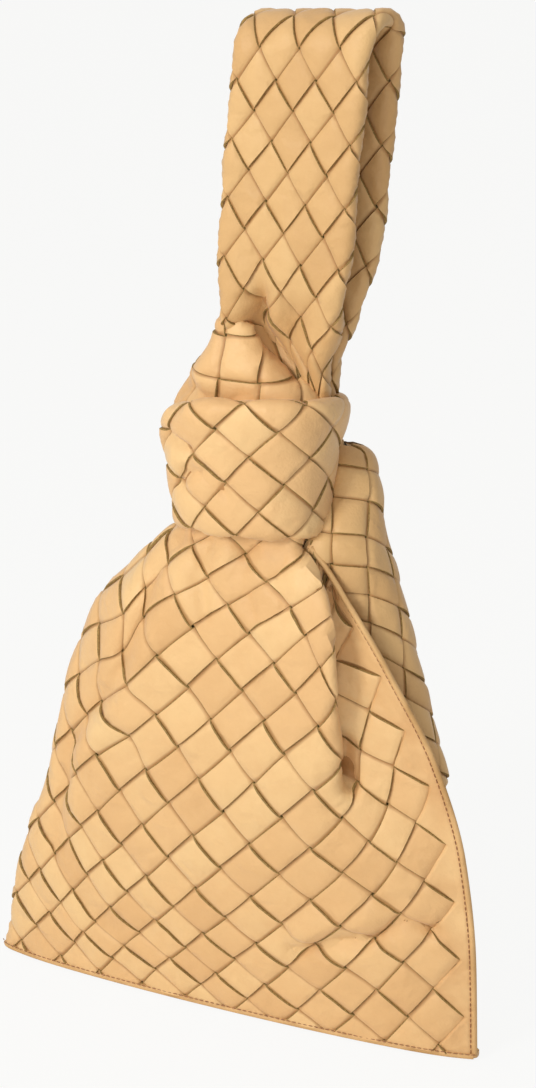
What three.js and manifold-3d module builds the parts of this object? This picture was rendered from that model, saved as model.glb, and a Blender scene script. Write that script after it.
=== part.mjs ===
// A small top handle bag: a soft woven leather pouch that narrows into a knot,
// with a wide woven loop standing out of the knot as the handle.
// Millimetres, +Z up, front at -Y, right at +X. The origin is the middle of the foot.
import * as THREE from "three";
import { ParametricGeometry } from "three/addons/geometries/ParametricGeometry.js";
import { mergeVertices } from "three/addons/utils/BufferGeometryUtils.js";
import Module from "manifold-3d";

const wasm = await Module();
wasm.setup();

// Leather and clearances
const WOVEN_WALL = 1.8;
const LINING_WALL = 0.8;
const FACING_WALL = 1.4;
const GAP = 0.3;
const LINING_GAP = 0.6; // a little slack under the woven sheet
const LIP_GAP = 1.2; // the front lip swings out beside its panel and over the seam

// Foot
const FOOT_WIDTH = 240;
const FOOT_DEPTH = 23;
const FOOT_WALL = 2.2;
const SEAM_WIDTH = 2.0;
const SEAM_HEIGHT = 3.0;

// Pouch: its outline from the left fold to the mouth edge, with the half depth of its belly
// and of its open mouth, at shares of the height from the foot up to the neck.
const NECK_HEIGHT = 235.7;
const POUCH_ROWS = [
  { share: 0, left: -FOOT_WIDTH / 2, right: FOOT_WIDTH / 2, belly: FOOT_DEPTH / 2, lip: 2.6 },
  { share: 0.212, left: 10 - FOOT_WIDTH / 2, right: FOOT_WIDTH / 2 - 1, belly: 17, lip: 5 },
  { share: 0.424, left: 27 - FOOT_WIDTH / 2, right: FOOT_WIDTH / 2 - 6, belly: 23, lip: 8 },
  { share: 0.615, left: -83, right: 101, belly: 27, lip: 11 },
  { share: 0.793, left: -67, right: 79, belly: 27, lip: 14 },
  { share: 0.912, left: -43, right: 59, belly: 23, lip: 14 },
  { share: 1, left: -20, right: 40, belly: 17, lip: 12 },
];
const CROWN_EXPONENT = 0.42; // roundness of the belly toward the fold and the mouth
const OPENING_START = 0.2; // share of the half width where the mouth begins to open
const FOLD_GAP = 0.5; // between the front and the back sheet at the left fold
const LINING_START = 9; // the lining is sewn in this far from the left fold
const LINING_SHORT = 2; // and stops this far short of the mouth facing

// Mouth edges
const FACING_WIDTH = 9;
const BINDING_RADIUS = 1.5;
const BINDING_GAP = 0.5;
const FRONT_MOUTH_DROP = 6; // the front edge ends this far below the neck
const BACK_MOUTH_DROP = 4; // the back edge ends this far below the root of the strap

// Root of the back strap, a convex woven fold beside the mouth, at shares of the neck height
const ROOT_ROWS = [
  { share: 0.518, x: 94, y: 6, across: 4, deep: 3 },
  { share: 0.552, x: 86, y: 7, across: 11, deep: 8 },
  { share: 0.653, x: 72, y: 8, across: 17, deep: 12 },
  { share: 0.764, x: 62, y: 9, across: 20, deep: 15 },
  { share: 0.878, x: 54, y: 11, across: 20, deep: 17 },
  { share: 0.989, x: 47, y: 15, across: 20, deep: 17 },
  { share: 1.082, x: 43, y: 20, across: 18, deep: 13 },
  { share: 1.129, x: 41, y: 22, across: 15, deep: 10 },
  { share: 1.154, x: 40, y: 23, across: 9, deep: 6 },
];

// Knot
const KNOT_X = 15;
const KNOT_Y = -3;
const CORE_ACROSS = 26;
const CORE_DEEP = 12.5;
const WRAP_ACROSS = 42;
const WRAP_DEEP = 28;
const WRAP_HEIGHT = 70;
const WRAP_BOTTOM = NECK_HEIGHT + GAP;
const WRAP_TOP = WRAP_BOTTOM + WRAP_HEIGHT;
const WRAP_EXPONENT = 2.6; // roundness of the wrap's cushion section

// Upper turn of the strap over the knot, by the height above the knot
const TURN_BASE = WRAP_TOP + 2 * GAP;
const TURN_ROWS = [
  { height: 0, x: 2, y: 0, across: 27, deep: 20 },
  { height: 8, x: 2, y: 0, across: 23, deep: 18 },
  { height: 14, x: 0, y: 0, across: 16, deep: 14 },
  { height: 18, x: -2, y: 0, across: 9, deep: 9 },
  { height: 20, x: -3, y: 0, across: 3, deep: 3 },
];

// Handle loop
const HANDLE_WIDTH = 58;
const HANDLE_WALL = 1.6;
const INTERLINING_WALL = 1.2;
const HANDLE_X = 28.5; // middle of the band where it leaves the gathers
const GATHER_HEIGHT = 43;
const HANDLE_BOTTOM = WRAP_TOP + GATHER_HEIGHT;
const HANDLE_HALF_SPAN = 12; // half the distance between the two bands
const HANDLE_RISE = 104; // from the gathers up to the start of the top bend
const HANDLE_LEAN = 0.088; // sideways shift to the right for each mm of height
const BAND_EXPONENT = 0.5; // roundness of the band's two folded edges
const GATHER_ROWS = [
  { height: 0, x: 40, y: 0, across: 12, deep: 11 },
  { height: 12, x: 36, y: 0, across: 18, deep: 13 },
  { height: 28, x: 31, y: 0, across: 25, deep: 14 },
];

const LEATHER = 0xe3bd8a;
const LEATHER_SHADE = 0xc99a63;
const LEATHER_EDGE = 0xa8834f;
const LEATHER_ROUGHNESS = 0.6;
const CLOTH_ROUGHNESS = 0.9;

// Counts of facets
const ACROSS_STEPS = 16;
const UP_STEPS = 14;
const ROUND_STEPS = 20;
const FACING_STEPS = 3;
const FOOT_STEPS = 24;
const SEAM_STEPS = 20;
const CORD_SIDES = 8;
const EDGE_POINTS = 10;
const KNOT_SIDES = 28;
const KNOT_SECTION_STEPS = 16;
const ENVELOPE_STEPS = 12;
const CORE_STEPS = 2;
const ROOT_STEPS = 12;
const GATHER_STEPS = 8;
const BAND_SIDES = 12;
const BAND_STEPS = 24;

// Removes the triangles that shrank to a line where rows meet in one point.
function closedMesh(geometry) {
  geometry.deleteAttribute("normal");
  geometry.deleteAttribute("uv");
  const merged = mergeVertices(geometry, 1e-4);
  const kept = [];
  const index = merged.index.array;
  for (let i = 0; i < index.length; i += 3) {
    const [a, b, c] = [index[i], index[i + 1], index[i + 2]];
    if (a !== b && b !== c && c !== a) kept.push(a, b, c);
  }
  merged.setIndex(kept);
  return merged;
}

function solid(geometry) {
  return new wasm.Manifold(
    new wasm.Mesh({
      numProp: 3,
      vertProperties: geometry.attributes.position.array,
      triVerts: new Uint32Array(geometry.index.array),
    }),
  );
}

function geometryOf(manifold) {
  const mesh = manifold.getMesh();
  const geometry = new THREE.BufferGeometry();
  geometry.setAttribute("position", new THREE.BufferAttribute(mesh.vertProperties, 3));
  geometry.setIndex(new THREE.BufferAttribute(mesh.triVerts, 1));
  return geometry;
}

// A signed power, which gives a circle's sine and cosine a squarer or a rounder corner.
function rounded(value, exponent) {
  return Math.sign(value) * Math.pow(Math.abs(value), exponent);
}

// A body lofted along s = 0..1: ring(s, u) is a closed loop in u, and the ends close
// on middle(s, u).
function loft(ring, middle, around, steps) {
  const geometry = new ParametricGeometry(
    (u, v, target) => {
      const row = Math.round(v * (steps + 2)) - 1;
      const s = THREE.MathUtils.clamp(row / steps, 0, 1);
      target.copy(row < 0 || row > steps ? middle(s, u) : ring(s, u));
    },
    around,
    steps + 2,
  );
  return closedMesh(geometry);
}

// A sheet of leather with thickness: face(s, t) and back(s, t) are its two sides,
// s along it and t across it.
function sheet(face, back, across, steps) {
  const around = 2 * across + 2;
  const side = (s, u) => {
    const k = Math.round(u * around) % around;
    return k <= across ? face(s, k / across) : back(s, (around - 1 - k) / across);
  };
  const middle = (s, u) => {
    const k = Math.round(u * around) % around;
    const t = (k <= across ? k : around - 1 - k) / across;
    return face(s, t).add(back(s, t)).multiplyScalar(0.5);
  };
  return loft(side, middle, around, steps);
}

// Smooth values between rows of the form { height, name: value, ... }.
function rows(list, names) {
  const heights = list.map((row) => row.height);
  const values = list.flatMap((row) => names.map((name) => row[name]));
  const curve = new THREE.CubicInterpolant(heights, values, names.length);
  return (height) => {
    const at = curve.evaluate(height);
    return Object.fromEntries(names.map((name, i) => [name, at[i]]));
  };
}

// The same rows with the share turned into a height above the foot.
function fromFoot(list) {
  return list.map(({ share, ...row }) => ({ height: share * NECK_HEIGHT, ...row }));
}

const pouchAt = rows(fromFoot(POUCH_ROWS), ["left", "right", "belly", "lip"]);

// Horizontal reach from the pouch's middle line at a height, from -1 at the fold to 1.
function shareAt(z, x) {
  const { left, right } = pouchAt(z);
  return THREE.MathUtils.clamp((2 * x - left - right) / (right - left), -1, 1);
}

// The x of the mouth edge at height z, and of the line where its facing stops short of the
// binding, measured square to the edge.
function facingEdge(z) {
  const step = 1;
  const low = Math.max(z - step, 0);
  const slope = (pouchAt(z + step).right - pouchAt(low).right) / (z + step - low);
  return pouchAt(z).right - (BINDING_RADIUS + BINDING_GAP) * Math.hypot(1, slope);
}

// Half depth of the pouch at x and height z: rounded at the fold, open at the mouth.
function depthAt(z, x) {
  const { belly, lip } = pouchAt(z);
  const share = shareAt(z, x);
  const crown = Math.pow(1 - share * share, CROWN_EXPONENT);
  const opening = THREE.MathUtils.smoothstep(share, OPENING_START, 1) * lip;
  return FOLD_GAP / 2 + Math.max(belly * crown, opening);
}

// A point on the pouch, inset below its outer face. side is -1 for front and 1 for back.
function pouchPoint(side, z, x, inset) {
  const { left } = pouchAt(z);
  const step = 0.5;
  const steepest = 1.2;
  const slope = (depthAt(z, x + step) - depthAt(z, x - step)) / (2 * step);
  const lean = THREE.MathUtils.clamp(slope, -steepest, steepest);
  const length = Math.hypot(1, lean);
  const inner = Math.max(depthAt(z, x) - inset / length, FOLD_GAP / 2);
  const inward = x + (lean * inset) / length;
  const most = left + inset;
  return new THREE.Vector3(Math.max(inward, inset > 0 ? most : left), side * inner, z);
}

const rootRows = fromFoot(ROOT_ROWS);
const rootAt = rows(rootRows, ["x", "y", "across", "deep"]);
const ROOT_BOTTOM = rootRows[0].height;
const MOUTH_BOTTOM = GAP + SEAM_HEIGHT + LIP_GAP;
const FRONT_MOUTH_TOP = NECK_HEIGHT - FRONT_MOUTH_DROP;
const BACK_MOUTH_TOP = ROOT_BOTTOM - BACK_MOUTH_DROP;

// Right edge of a sheet: the mouth facing, or at the back above it the strap's root.
function panelEnd(side, z) {
  const facing = facingEdge(z) - FACING_WIDTH;
  if (side < 0) return facing - LIP_GAP;
  if (z < BACK_MOUTH_TOP) return facing - GAP;
  const root = rootAt(Math.max(z, ROOT_BOTTOM));
  return Math.min(facing - GAP, root.x - root.across - LIP_GAP);
}

// Woven sheet or lining of one side of the pouch, with its facets closer at both ends.
function panel(side, outer, inner, start, short) {
  const bottom = FOOT_WALL + GAP;
  const at = (inset) => (s, t) => {
    const z = THREE.MathUtils.lerp(bottom, NECK_HEIGHT, s);
    const left = pouchAt(z).left + start;
    const end = panelEnd(side, z) - short;
    const eased = (1 - Math.cos(Math.PI * t)) / 2;
    const spread = (t + eased) / 2;
    return pouchPoint(side, z, THREE.MathUtils.lerp(left, end, spread), inset);
  };
  const [face, back] = side < 0 ? [at(outer), at(inner)] : [at(inner), at(outer)];
  return sheet(face, back, ACROSS_STEPS, UP_STEPS);
}

function facing(side, top) {
  const at = (inset) => (s, t) => {
    const z = THREE.MathUtils.lerp(MOUTH_BOTTOM, top, s);
    return pouchPoint(side, z, facingEdge(z) - FACING_WIDTH * (1 - t), inset);
  };
  const [face, back] = side < 0 ? [at(0), at(FACING_WALL)] : [at(FACING_WALL), at(0)];
  return sheet(face, back, FACING_STEPS, UP_STEPS);
}

function binding(side, top) {
  const points = [];
  for (let i = 0; i <= EDGE_POINTS; i++) {
    const z = THREE.MathUtils.lerp(MOUTH_BOTTOM, top, i / EDGE_POINTS);
    const x = pouchAt(z).right;
    points.push(new THREE.Vector3(x, side * (depthAt(z, x) - FACING_WALL / 2), z));
  }
  return cord(points, BINDING_RADIUS, UP_STEPS);
}

// A round cord along points: an extruded circle.
function cord(points, radius, steps) {
  const section = new THREE.Shape();
  section.absarc(0, 0, radius, 0, 2 * Math.PI);
  const geometry = new THREE.ExtrudeGeometry(section, {
    steps,
    curveSegments: CORD_SIDES / 2,
    extrudePath: new THREE.CatmullRomCurve3(points),
  });
  return closedMesh(geometry);
}

// The foot's outline, front edge from left to right and back edge from right to left.
function foot() {
  const half = (side) =>
    Array.from({ length: FOOT_STEPS + 1 }, (_, i) => {
      const x = (FOOT_WIDTH / 2) * side * Math.cos((Math.PI * i) / FOOT_STEPS);
      return new THREE.Vector2(x, side * depthAt(0, x));
    });
  const shape = new THREE.Shape([...half(-1), ...half(1)]);
  const geometry = new THREE.ExtrudeGeometry(shape, { depth: FOOT_WALL, bevelEnabled: false });
  return closedMesh(geometry);
}

// Thin turned seam along the lower edge, just outside the foot.
function footSeam(side) {
  const reach = FOOT_WIDTH / 2 - SEAM_WIDTH;
  const ring = (s, u) => {
    const x = -reach * Math.cos(Math.PI * s);
    const angle = 2 * Math.PI * u * side;
    const out = depthAt(0, x) + GAP + (SEAM_WIDTH / 2) * (1 + Math.cos(angle));
    const up = GAP + (SEAM_HEIGHT / 2) * (1 + Math.sin(angle));
    return new THREE.Vector3(x, side * out, up);
  };
  const middle = (s) => {
    const x = -reach * Math.cos(Math.PI * s);
    const out = depthAt(0, x) + GAP + SEAM_WIDTH / 2;
    return new THREE.Vector3(x, side * out, GAP + SEAM_HEIGHT / 2);
  };
  return loft(ring, middle, CORD_SIDES, SEAM_STEPS);
}

// A body stacked from ellipses at rows of heights, standing on base.
function stacked(list, base, grow, steps) {
  const at = rows(list, ["x", "y", "across", "deep"]);
  const first = list[0].height;
  const last = list[list.length - 1].height;
  const ring = (s, u) => {
    const height = THREE.MathUtils.lerp(first, last, s);
    const row = at(height);
    const angle = 2 * Math.PI * u;
    return new THREE.Vector3(
      row.x + (row.across + grow) * Math.cos(angle),
      row.y + (row.deep + grow) * Math.sin(angle),
      base + height + (s === 0 ? -grow : 0) + (s === 1 ? grow : 0),
    );
  };
  const middle = (s) => {
    const height = THREE.MathUtils.lerp(first, last, s);
    const row = at(height);
    return new THREE.Vector3(row.x, row.y, base + height + (s === 0 ? -grow : grow));
  };
  return loft(ring, middle, ROUND_STEPS, steps);
}

// The wrap's cushion section, as a share of its reach at a share of its half height.
function cushion(share) {
  return Math.pow(Math.max(0, 1 - Math.pow(Math.abs(share), WRAP_EXPONENT)), 1 / WRAP_EXPONENT);
}

const WRAP_MIDDLE = (WRAP_BOTTOM + WRAP_TOP) / 2;
const WRAP_HALF = (WRAP_TOP - WRAP_BOTTOM) / 2;

function ellipse(angle, across, deep, z) {
  return new THREE.Vector3(KNOT_X + across * Math.cos(angle), KNOT_Y + deep * Math.sin(angle), z);
}

// The band that goes round the knot: a ring with a cushion section.
function knotWrap() {
  const holeAcross = CORE_ACROSS + GAP;
  const holeDeep = CORE_DEEP + GAP;
  const bandAcross = (WRAP_ACROSS - holeAcross) / 2;
  const bandDeep = (WRAP_DEEP - holeDeep) / 2;
  const geometry = new ParametricGeometry(
    (u, v, target) => {
      const turn = 2 * Math.PI * u;
      const angle = 2 * Math.PI * v;
      const up = rounded(Math.sin(angle), 2 / WRAP_EXPONENT);
      const out = rounded(Math.cos(angle), 2 / WRAP_EXPONENT);
      const across = holeAcross + bandAcross * (1 + out);
      const deep = holeDeep + bandDeep * (1 + out);
      target.copy(ellipse(turn, across, deep, WRAP_MIDDLE + WRAP_HALF * up));
    },
    KNOT_SIDES,
    KNOT_SECTION_STEPS,
  );
  return closedMesh(geometry);
}

// The knot's outer form without its hole, grown by the clearance, to cut what lies on it.
function knotEnvelope() {
  const ring = (s, u) => {
    const share = -Math.cos(Math.PI * s);
    const bulge = (cushion(share) - 1) / 2;
    const across = WRAP_ACROSS + GAP + (WRAP_ACROSS - CORE_ACROSS - GAP) * bulge;
    const deep = WRAP_DEEP + GAP + (WRAP_DEEP - CORE_DEEP - GAP) * bulge;
    return ellipse(2 * Math.PI * u, across, deep, WRAP_MIDDLE + (WRAP_HALF + GAP) * share);
  };
  const middle = (s) => ellipse(0, 0, 0, WRAP_MIDDLE - (WRAP_HALF + GAP) * Math.cos(Math.PI * s));
  return loft(ring, middle, KNOT_SIDES, ENVELOPE_STEPS);
}

function knotCore() {
  const height = (s) => THREE.MathUtils.lerp(WRAP_BOTTOM, WRAP_TOP - GAP, s);
  const ring = (s, u) => ellipse(2 * Math.PI * u, CORE_ACROSS, CORE_DEEP, height(s));
  const middle = (s) => ellipse(0, 0, 0, height(s));
  return loft(ring, middle, KNOT_SIDES, CORE_STEPS);
}

function strapRoot() {
  const whole = solid(stacked(rootRows, 0, 0, ROOT_STEPS));
  return geometryOf(whole.subtract(solid(knotEnvelope())));
}

function upperTurn(grow) {
  return stacked(TURN_ROWS, TURN_BASE, grow, GATHER_STEPS);
}

// The gathered strap ends between the knot and the loop.
function gather() {
  const top = {
    height: HANDLE_BOTTOM - GAP - TURN_BASE,
    x: HANDLE_X,
    y: 0,
    across: HANDLE_WIDTH / 2,
    deep: HANDLE_HALF_SPAN,
  };
  const whole = solid(stacked([...GATHER_ROWS, top], TURN_BASE, 0, GATHER_STEPS));
  return geometryOf(whole.subtract(solid(upperTurn(GAP))));
}

// The band's middle line at share s: up the front, over the top bend and down the back.
function handlePath(s) {
  const bend = Math.PI * HANDLE_HALF_SPAN;
  const total = 2 * HANDLE_RISE + bend;
  const run = s * total;
  const top = HANDLE_BOTTOM + HANDLE_RISE;
  if (run < HANDLE_RISE) return { y: -HANDLE_HALF_SPAN, z: HANDLE_BOTTOM + run, turn: 0 };
  if (run > HANDLE_RISE + bend) {
    return { y: HANDLE_HALF_SPAN, z: HANDLE_BOTTOM + total - run, turn: Math.PI };
  }
  const turn = (run - HANDLE_RISE) / HANDLE_HALF_SPAN;
  return {
    y: -HANDLE_HALF_SPAN * Math.cos(turn),
    z: top + HANDLE_HALF_SPAN * Math.sin(turn),
    turn,
  };
}

// A flat band of the loop, halfThick to each side of the middle line.
function band(halfWidth, halfThick) {
  const place = (s, across, out) => {
    const { y, z, turn } = handlePath(s);
    const lift = z + out * Math.sin(turn);
    const lean = HANDLE_LEAN * (lift - HANDLE_BOTTOM);
    return new THREE.Vector3(HANDLE_X + lean + across, y - out * Math.cos(turn), lift);
  };
  const ring = (s, u) => {
    const angle = -2 * Math.PI * u;
    const across = halfWidth * rounded(Math.cos(angle), BAND_EXPONENT);
    const out = halfThick * rounded(Math.sin(angle), BAND_EXPONENT);
    return place(s, across, out);
  };
  return loft(ring, (s) => place(s, 0, 0), BAND_SIDES, BAND_STEPS);
}

const SLEEVE_HALF = HANDLE_WALL + GAP + INTERLINING_WALL / 2;

function handleSleeve() {
  const outer = solid(band(HANDLE_WIDTH / 2, SLEEVE_HALF));
  const inner = band(HANDLE_WIDTH / 2 - HANDLE_WALL, SLEEVE_HALF - HANDLE_WALL);
  return geometryOf(outer.subtract(throughEnds(inner)));
}

// The hollow of the sleeve runs out of both ends of the band.
function throughEnds(geometry) {
  const position = geometry.attributes.position;
  const tolerance = 1e-3;
  for (let i = 0; i < position.count; i++) {
    if (position.getZ(i) < HANDLE_BOTTOM + tolerance) position.setZ(i, HANDLE_BOTTOM - GAP);
  }
  return solid(geometry);
}

function interlining() {
  const play = HANDLE_WALL + GAP;
  return band(HANDLE_WIDTH / 2 - play, SLEEVE_HALF - play);
}

const bag = new THREE.Group();

function add(name, geometry, color, roughness = LEATHER_ROUGHNESS) {
  const material = new THREE.MeshStandardMaterial({ color, roughness, metalness: 0 });
  const mesh = new THREE.Mesh(geometry, material);
  mesh.name = name;
  bag.add(mesh);
}

function lining(side) {
  const outer = WOVEN_WALL + LINING_GAP;
  return panel(side, outer, outer + LINING_WALL, LINING_START, LINING_SHORT);
}

add("base_panel", foot(), LEATHER);
add("front_base_seam", footSeam(-1), LEATHER_EDGE);
add("back_base_seam", footSeam(1), LEATHER_EDGE);
add("front_panel", panel(-1, 0, WOVEN_WALL, 0, 0), LEATHER);
add("back_panel", panel(1, 0, WOVEN_WALL, 0, 0), LEATHER);
add("front_lining", lining(-1), LEATHER_SHADE, CLOTH_ROUGHNESS);
add("back_lining", lining(1), LEATHER_SHADE, CLOTH_ROUGHNESS);
add("front_mouth_facing", facing(-1, FRONT_MOUTH_TOP), LEATHER);
add("back_mouth_facing", facing(1, BACK_MOUTH_TOP), LEATHER);
add("front_mouth_binding", binding(-1, FRONT_MOUTH_TOP), LEATHER_EDGE);
add("back_mouth_binding", binding(1, BACK_MOUTH_TOP), LEATHER_EDGE);
add("back_strap_root", strapRoot(), LEATHER);
add("knot_core", knotCore(), LEATHER_SHADE);
add("knot_wrap", knotWrap(), LEATHER);
add("knot_upper_turn", upperTurn(0), LEATHER);
add("handle_gather", gather(), LEATHER);
add("handle_sleeve", handleSleeve(), LEATHER);
add("handle_interlining", interlining(), LEATHER_SHADE, CLOTH_ROUGHNESS);

export default bag;
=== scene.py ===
import math

import bmesh
import bpy
import numpy as np
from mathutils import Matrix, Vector


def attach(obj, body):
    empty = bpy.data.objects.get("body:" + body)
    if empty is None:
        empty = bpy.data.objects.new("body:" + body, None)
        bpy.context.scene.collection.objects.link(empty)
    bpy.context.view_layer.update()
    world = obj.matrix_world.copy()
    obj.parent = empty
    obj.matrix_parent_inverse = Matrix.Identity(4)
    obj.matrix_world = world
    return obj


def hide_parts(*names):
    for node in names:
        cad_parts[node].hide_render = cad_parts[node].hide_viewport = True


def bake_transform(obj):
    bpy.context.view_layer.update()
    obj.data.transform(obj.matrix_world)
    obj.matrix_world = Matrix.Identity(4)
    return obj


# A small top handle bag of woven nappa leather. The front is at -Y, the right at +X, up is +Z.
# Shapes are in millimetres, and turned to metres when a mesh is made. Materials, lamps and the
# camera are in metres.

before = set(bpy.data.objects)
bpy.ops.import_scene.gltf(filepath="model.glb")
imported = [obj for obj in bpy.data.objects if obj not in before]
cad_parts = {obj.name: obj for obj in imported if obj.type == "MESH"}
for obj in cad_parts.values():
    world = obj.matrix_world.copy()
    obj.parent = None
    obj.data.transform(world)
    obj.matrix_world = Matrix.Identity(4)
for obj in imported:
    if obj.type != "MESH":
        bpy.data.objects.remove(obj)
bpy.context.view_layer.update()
MM = 0.001

# Leather
STRIP_THICK = 1.1
STRIP_LIFT = 0.55  # a strip's middle line above and below the middle of the weave
STRIP_CROWN = 0.35
STRIP_BEVEL = 0.38
STRIP_LEAN = 0.38  # how far one side of a strip stands proud, the other lies pressed in
STRIP_TUCK = 0.7  # how far a strip's end dives, over the last TUCK_LENGTH of a cell
TUCK_LENGTH = 0.3
STRIP_SWAY = 0.016  # how far a strip wanders sideways, in cells
STRIP_UNEVEN = 0.015  # and how much its width varies, in cells
STRIP_FLATNESS = 4.5  # the higher, the later a strip dives under the next one
DENT_DEPTH = 0.26
PLAIN_THICK = 0.9
EDGE_RADIUS = 1.3
CELL_STEPS = 14

# Pouch, as the frame has it
NECK_HEIGHT = 236
FOOT_HALF = 120
FOOT_THICK = 2.4
CLIP_LOW = 2.2
CLIP_HIGH = 243

# Section of the front sheet at a few heights, from the left fold to the mouth edge: the side
# panel, the left ridge, the belly, the crest of the drape, the recess behind it and the mouth.
FRONT_SECTIONS = {
    0: [(-120, 0), (-118.5, -2.4), (-112, -4.8), (-100, -7), (-60, -10.2), (0, -11.5),
        (50, -10.6), (80, -9), (100, -7), (111, -5), (120, -2.6)],
    50: [(-110, 0), (-108, -4), (-102, -7), (-92, -10), (-50, -15), (0, -17),
         (45, -16), (75, -13.5), (95, -10), (110, -6.5), (119, -5)],
    100: [(-93, 0), (-90, -6), (-82, -11), (-75, -15), (-35, -20), (10, -23),
          (50, -22), (70, -19), (88, -14), (104, -9), (114, -8)],
    145: [(-83, 0), (-80, -6), (-69, -13), (-56, -20), (-15, -25), (25, -27),
          (62, -25), (62, -19), (70, -14), (91, -11), (101, -11)],
    187: [(-67, 0), (-64, -6), (-55, -14), (-45, -21), (-10, -25), (25, -27),
          (60, -27), (54, -19), (58, -12), (70, -12), (79, -14)],
    215: [(-43, 0), (-41, -5), (-36, -12), (-30, -17), (-5, -22), (25, -25),
          (57, -26), (51, -18), (51, -12), (55, -12), (60, -14)],
    227: [(-31.5, 0), (-29.5, -5), (-25, -11.5), (-19, -16), (0, -20), (22.5, -22),
          (50.5, -22), (46, -16), (45.5, -11), (47.5, -11), (50.8, -13)],
    236: [(-20, 0), (-18, -5), (-14, -11), (-8, -15), (5, -18), (20, -19),
          (38.5, -17), (39, -13.5), (38, -10.5), (39.5, -10.5), (42.5, -12.5)],
}

# Back sheet: height, x of its left fold and of its mouth edge, depth of its belly and of its lip
BACK_ROWS = [
    (0, -120, 117, 11.5, 1.8), (50, -110, 114, 17, 2.5), (100, -93, 107, 23, 4),
    (118, -89, 101, 24.5, 5), (145, -83, 88, 27, 8), (187, -67, 72, 27, 11),
    (215, -43, 57, 23, 13), (236, -20, 40, 17, 12),
]

# Where the strips cross on the front: strip numbers, then distance along the sheet from its
# middle line and height. They were read by eye in the photograph, and a script apart from this
# one turned most of them into millimetres. The folds draw the weave askew, so it has no even
# pitch.
CROSSINGS = {
    (-4, -2): (-56, 204), (-3, -3): (-63, 182), (-3, -2): (-44, 193), (-2, -3): (-58, 167),
    (-1, -3): (-60, 146), (0, -4): (-58, 122), (-2, -2): (-45, 175), (-2, -1): (-34, 194),
    (-2, 0): (-16, 208), (-2, 1): (-2, 218), (0, -3): (-40, 136), (0, -1): (-10, 166), (0, 1): (20, 198),
    (0, 3): (56, 226), (1, -11): (-112, 32), (1, -9): (-96, 50), (1, -7): (-78, 72),
    (1, -5): (-60, 92), (1, -3): (-32, 121), (1, -1): (1, 153), (1, 1): (33, 187),
    (1, 2): (48, 203), (3, -10): (-78, 16), (3, -8): (-66, 31), (3, -5): (-36, 64),
    (3, -3): (-10, 92), (3, 0): (38, 145), (3, 1): (54, 162), (4, 1): (65, 145),
    (4, 4): (77, 187), (4, 5): (86, 203), (5, -8): (-34, 14), (5, -5): (-8, 40),
    (5, -2): (32, 82), (5, 2): (77, 147), (5, 4): (98, 183), (6, 0): (74, 106),
    (7, -5): (22, 20), (7, -3): (46, 46), (7, -1): (75, 79), (7, 2): (104, 135),
    (8, 1): (108, 107), (9, -4): (64, 14), (9, -2): (88, 46), (9, 0): (112, 79),
    (11, -2): (116, 21),
}

# Root of the back strap: height, centre x and y, half width, half depth
ROOT_ROWS = [
    (118, 97, 5, 3, 2.4), (122, 94, 6, 4, 3), (130, 87, 7, 11, 8), (154, 73.5, 8, 17, 12),
    (180, 63, 9, 20, 15), (207, 54, 11, 20, 17), (221, 49.5, 10.5, 20, 19),
    (233, 45.5, 9.5, 20, 21), (244, 43.3, 14, 18.5, 19), (252, 42.3, 18.5, 17.5, 14.5),
    (260, 41.5, 20.5, 16, 12), (265.5, 41, 21, 14.5, 10.5), (268.5, 40.7, 21.5, 11, 8),
    (270, 40.3, 22, 5.5, 4), (270.4, 40, 22, 1, 0.7),
]

# Knot: section of the wrap from its inner low edge over the outside to its inner top edge, as
# shares of its half width and height
WRAP_SECTION = [
    (0.30, 0.08), (0.50, 0.02), (0.80, -0.012), (0.89, 0.01), (0.915, 0.08), (0.925, 0.22), (0.95, 0.44),
    (0.99, 0.64), (1.05, 0.84), (1.055, 0.95), (1.0, 0.995), (0.82, 0.985), (0.55, 0.93), (0.30, 0.80),
]
# Height as a share of the knot's, and the x of its middle there
WRAP_MIDDLE = [(-0.1, 11.2), (0.3, 10.6), (0.6, 10.8), (0.85, 11.8), (1.0, 12.6)]
WRAP_HALF = (36.8, 28)
WRAP_Y = -3
PLAN_POWER = 0.8  # rounds the corners of the knot's plan, 1 is an ellipse

# Upper turn: height, left, right, half depth
TURN_ROWS = [
    (268, -24, 36, 18), (280, -26.5, 40, 19), (290, -23.5, 41, 19.5), (298, -19.5, 41.5, 18),
    (303, -16, 38, 15.5), (308, -12, 31, 12.5), (314, -7.5, 23.5, 9), (320, -4.2, 17, 6),
    (325, -3.2, 14.8, 5), (328.5, -2.4, 13, 3.8), (331, -1, 10.5, 2.4), (332, 0.5, 8, 1),
]

# Handle
BAND_WIDTH, BAND_THICK = 58, 5.0
BAND_PERIMETER = 2 * (BAND_WIDTH - BAND_THICK) + math.pi * BAND_THICK


def rows_at(table, at):
    """Values between the rows of a table, by its first column, without overshoot."""
    table = np.asarray(table, float)
    x, y = table[:, 0], table[:, 1:]
    return monotone(x, y, at)


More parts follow.
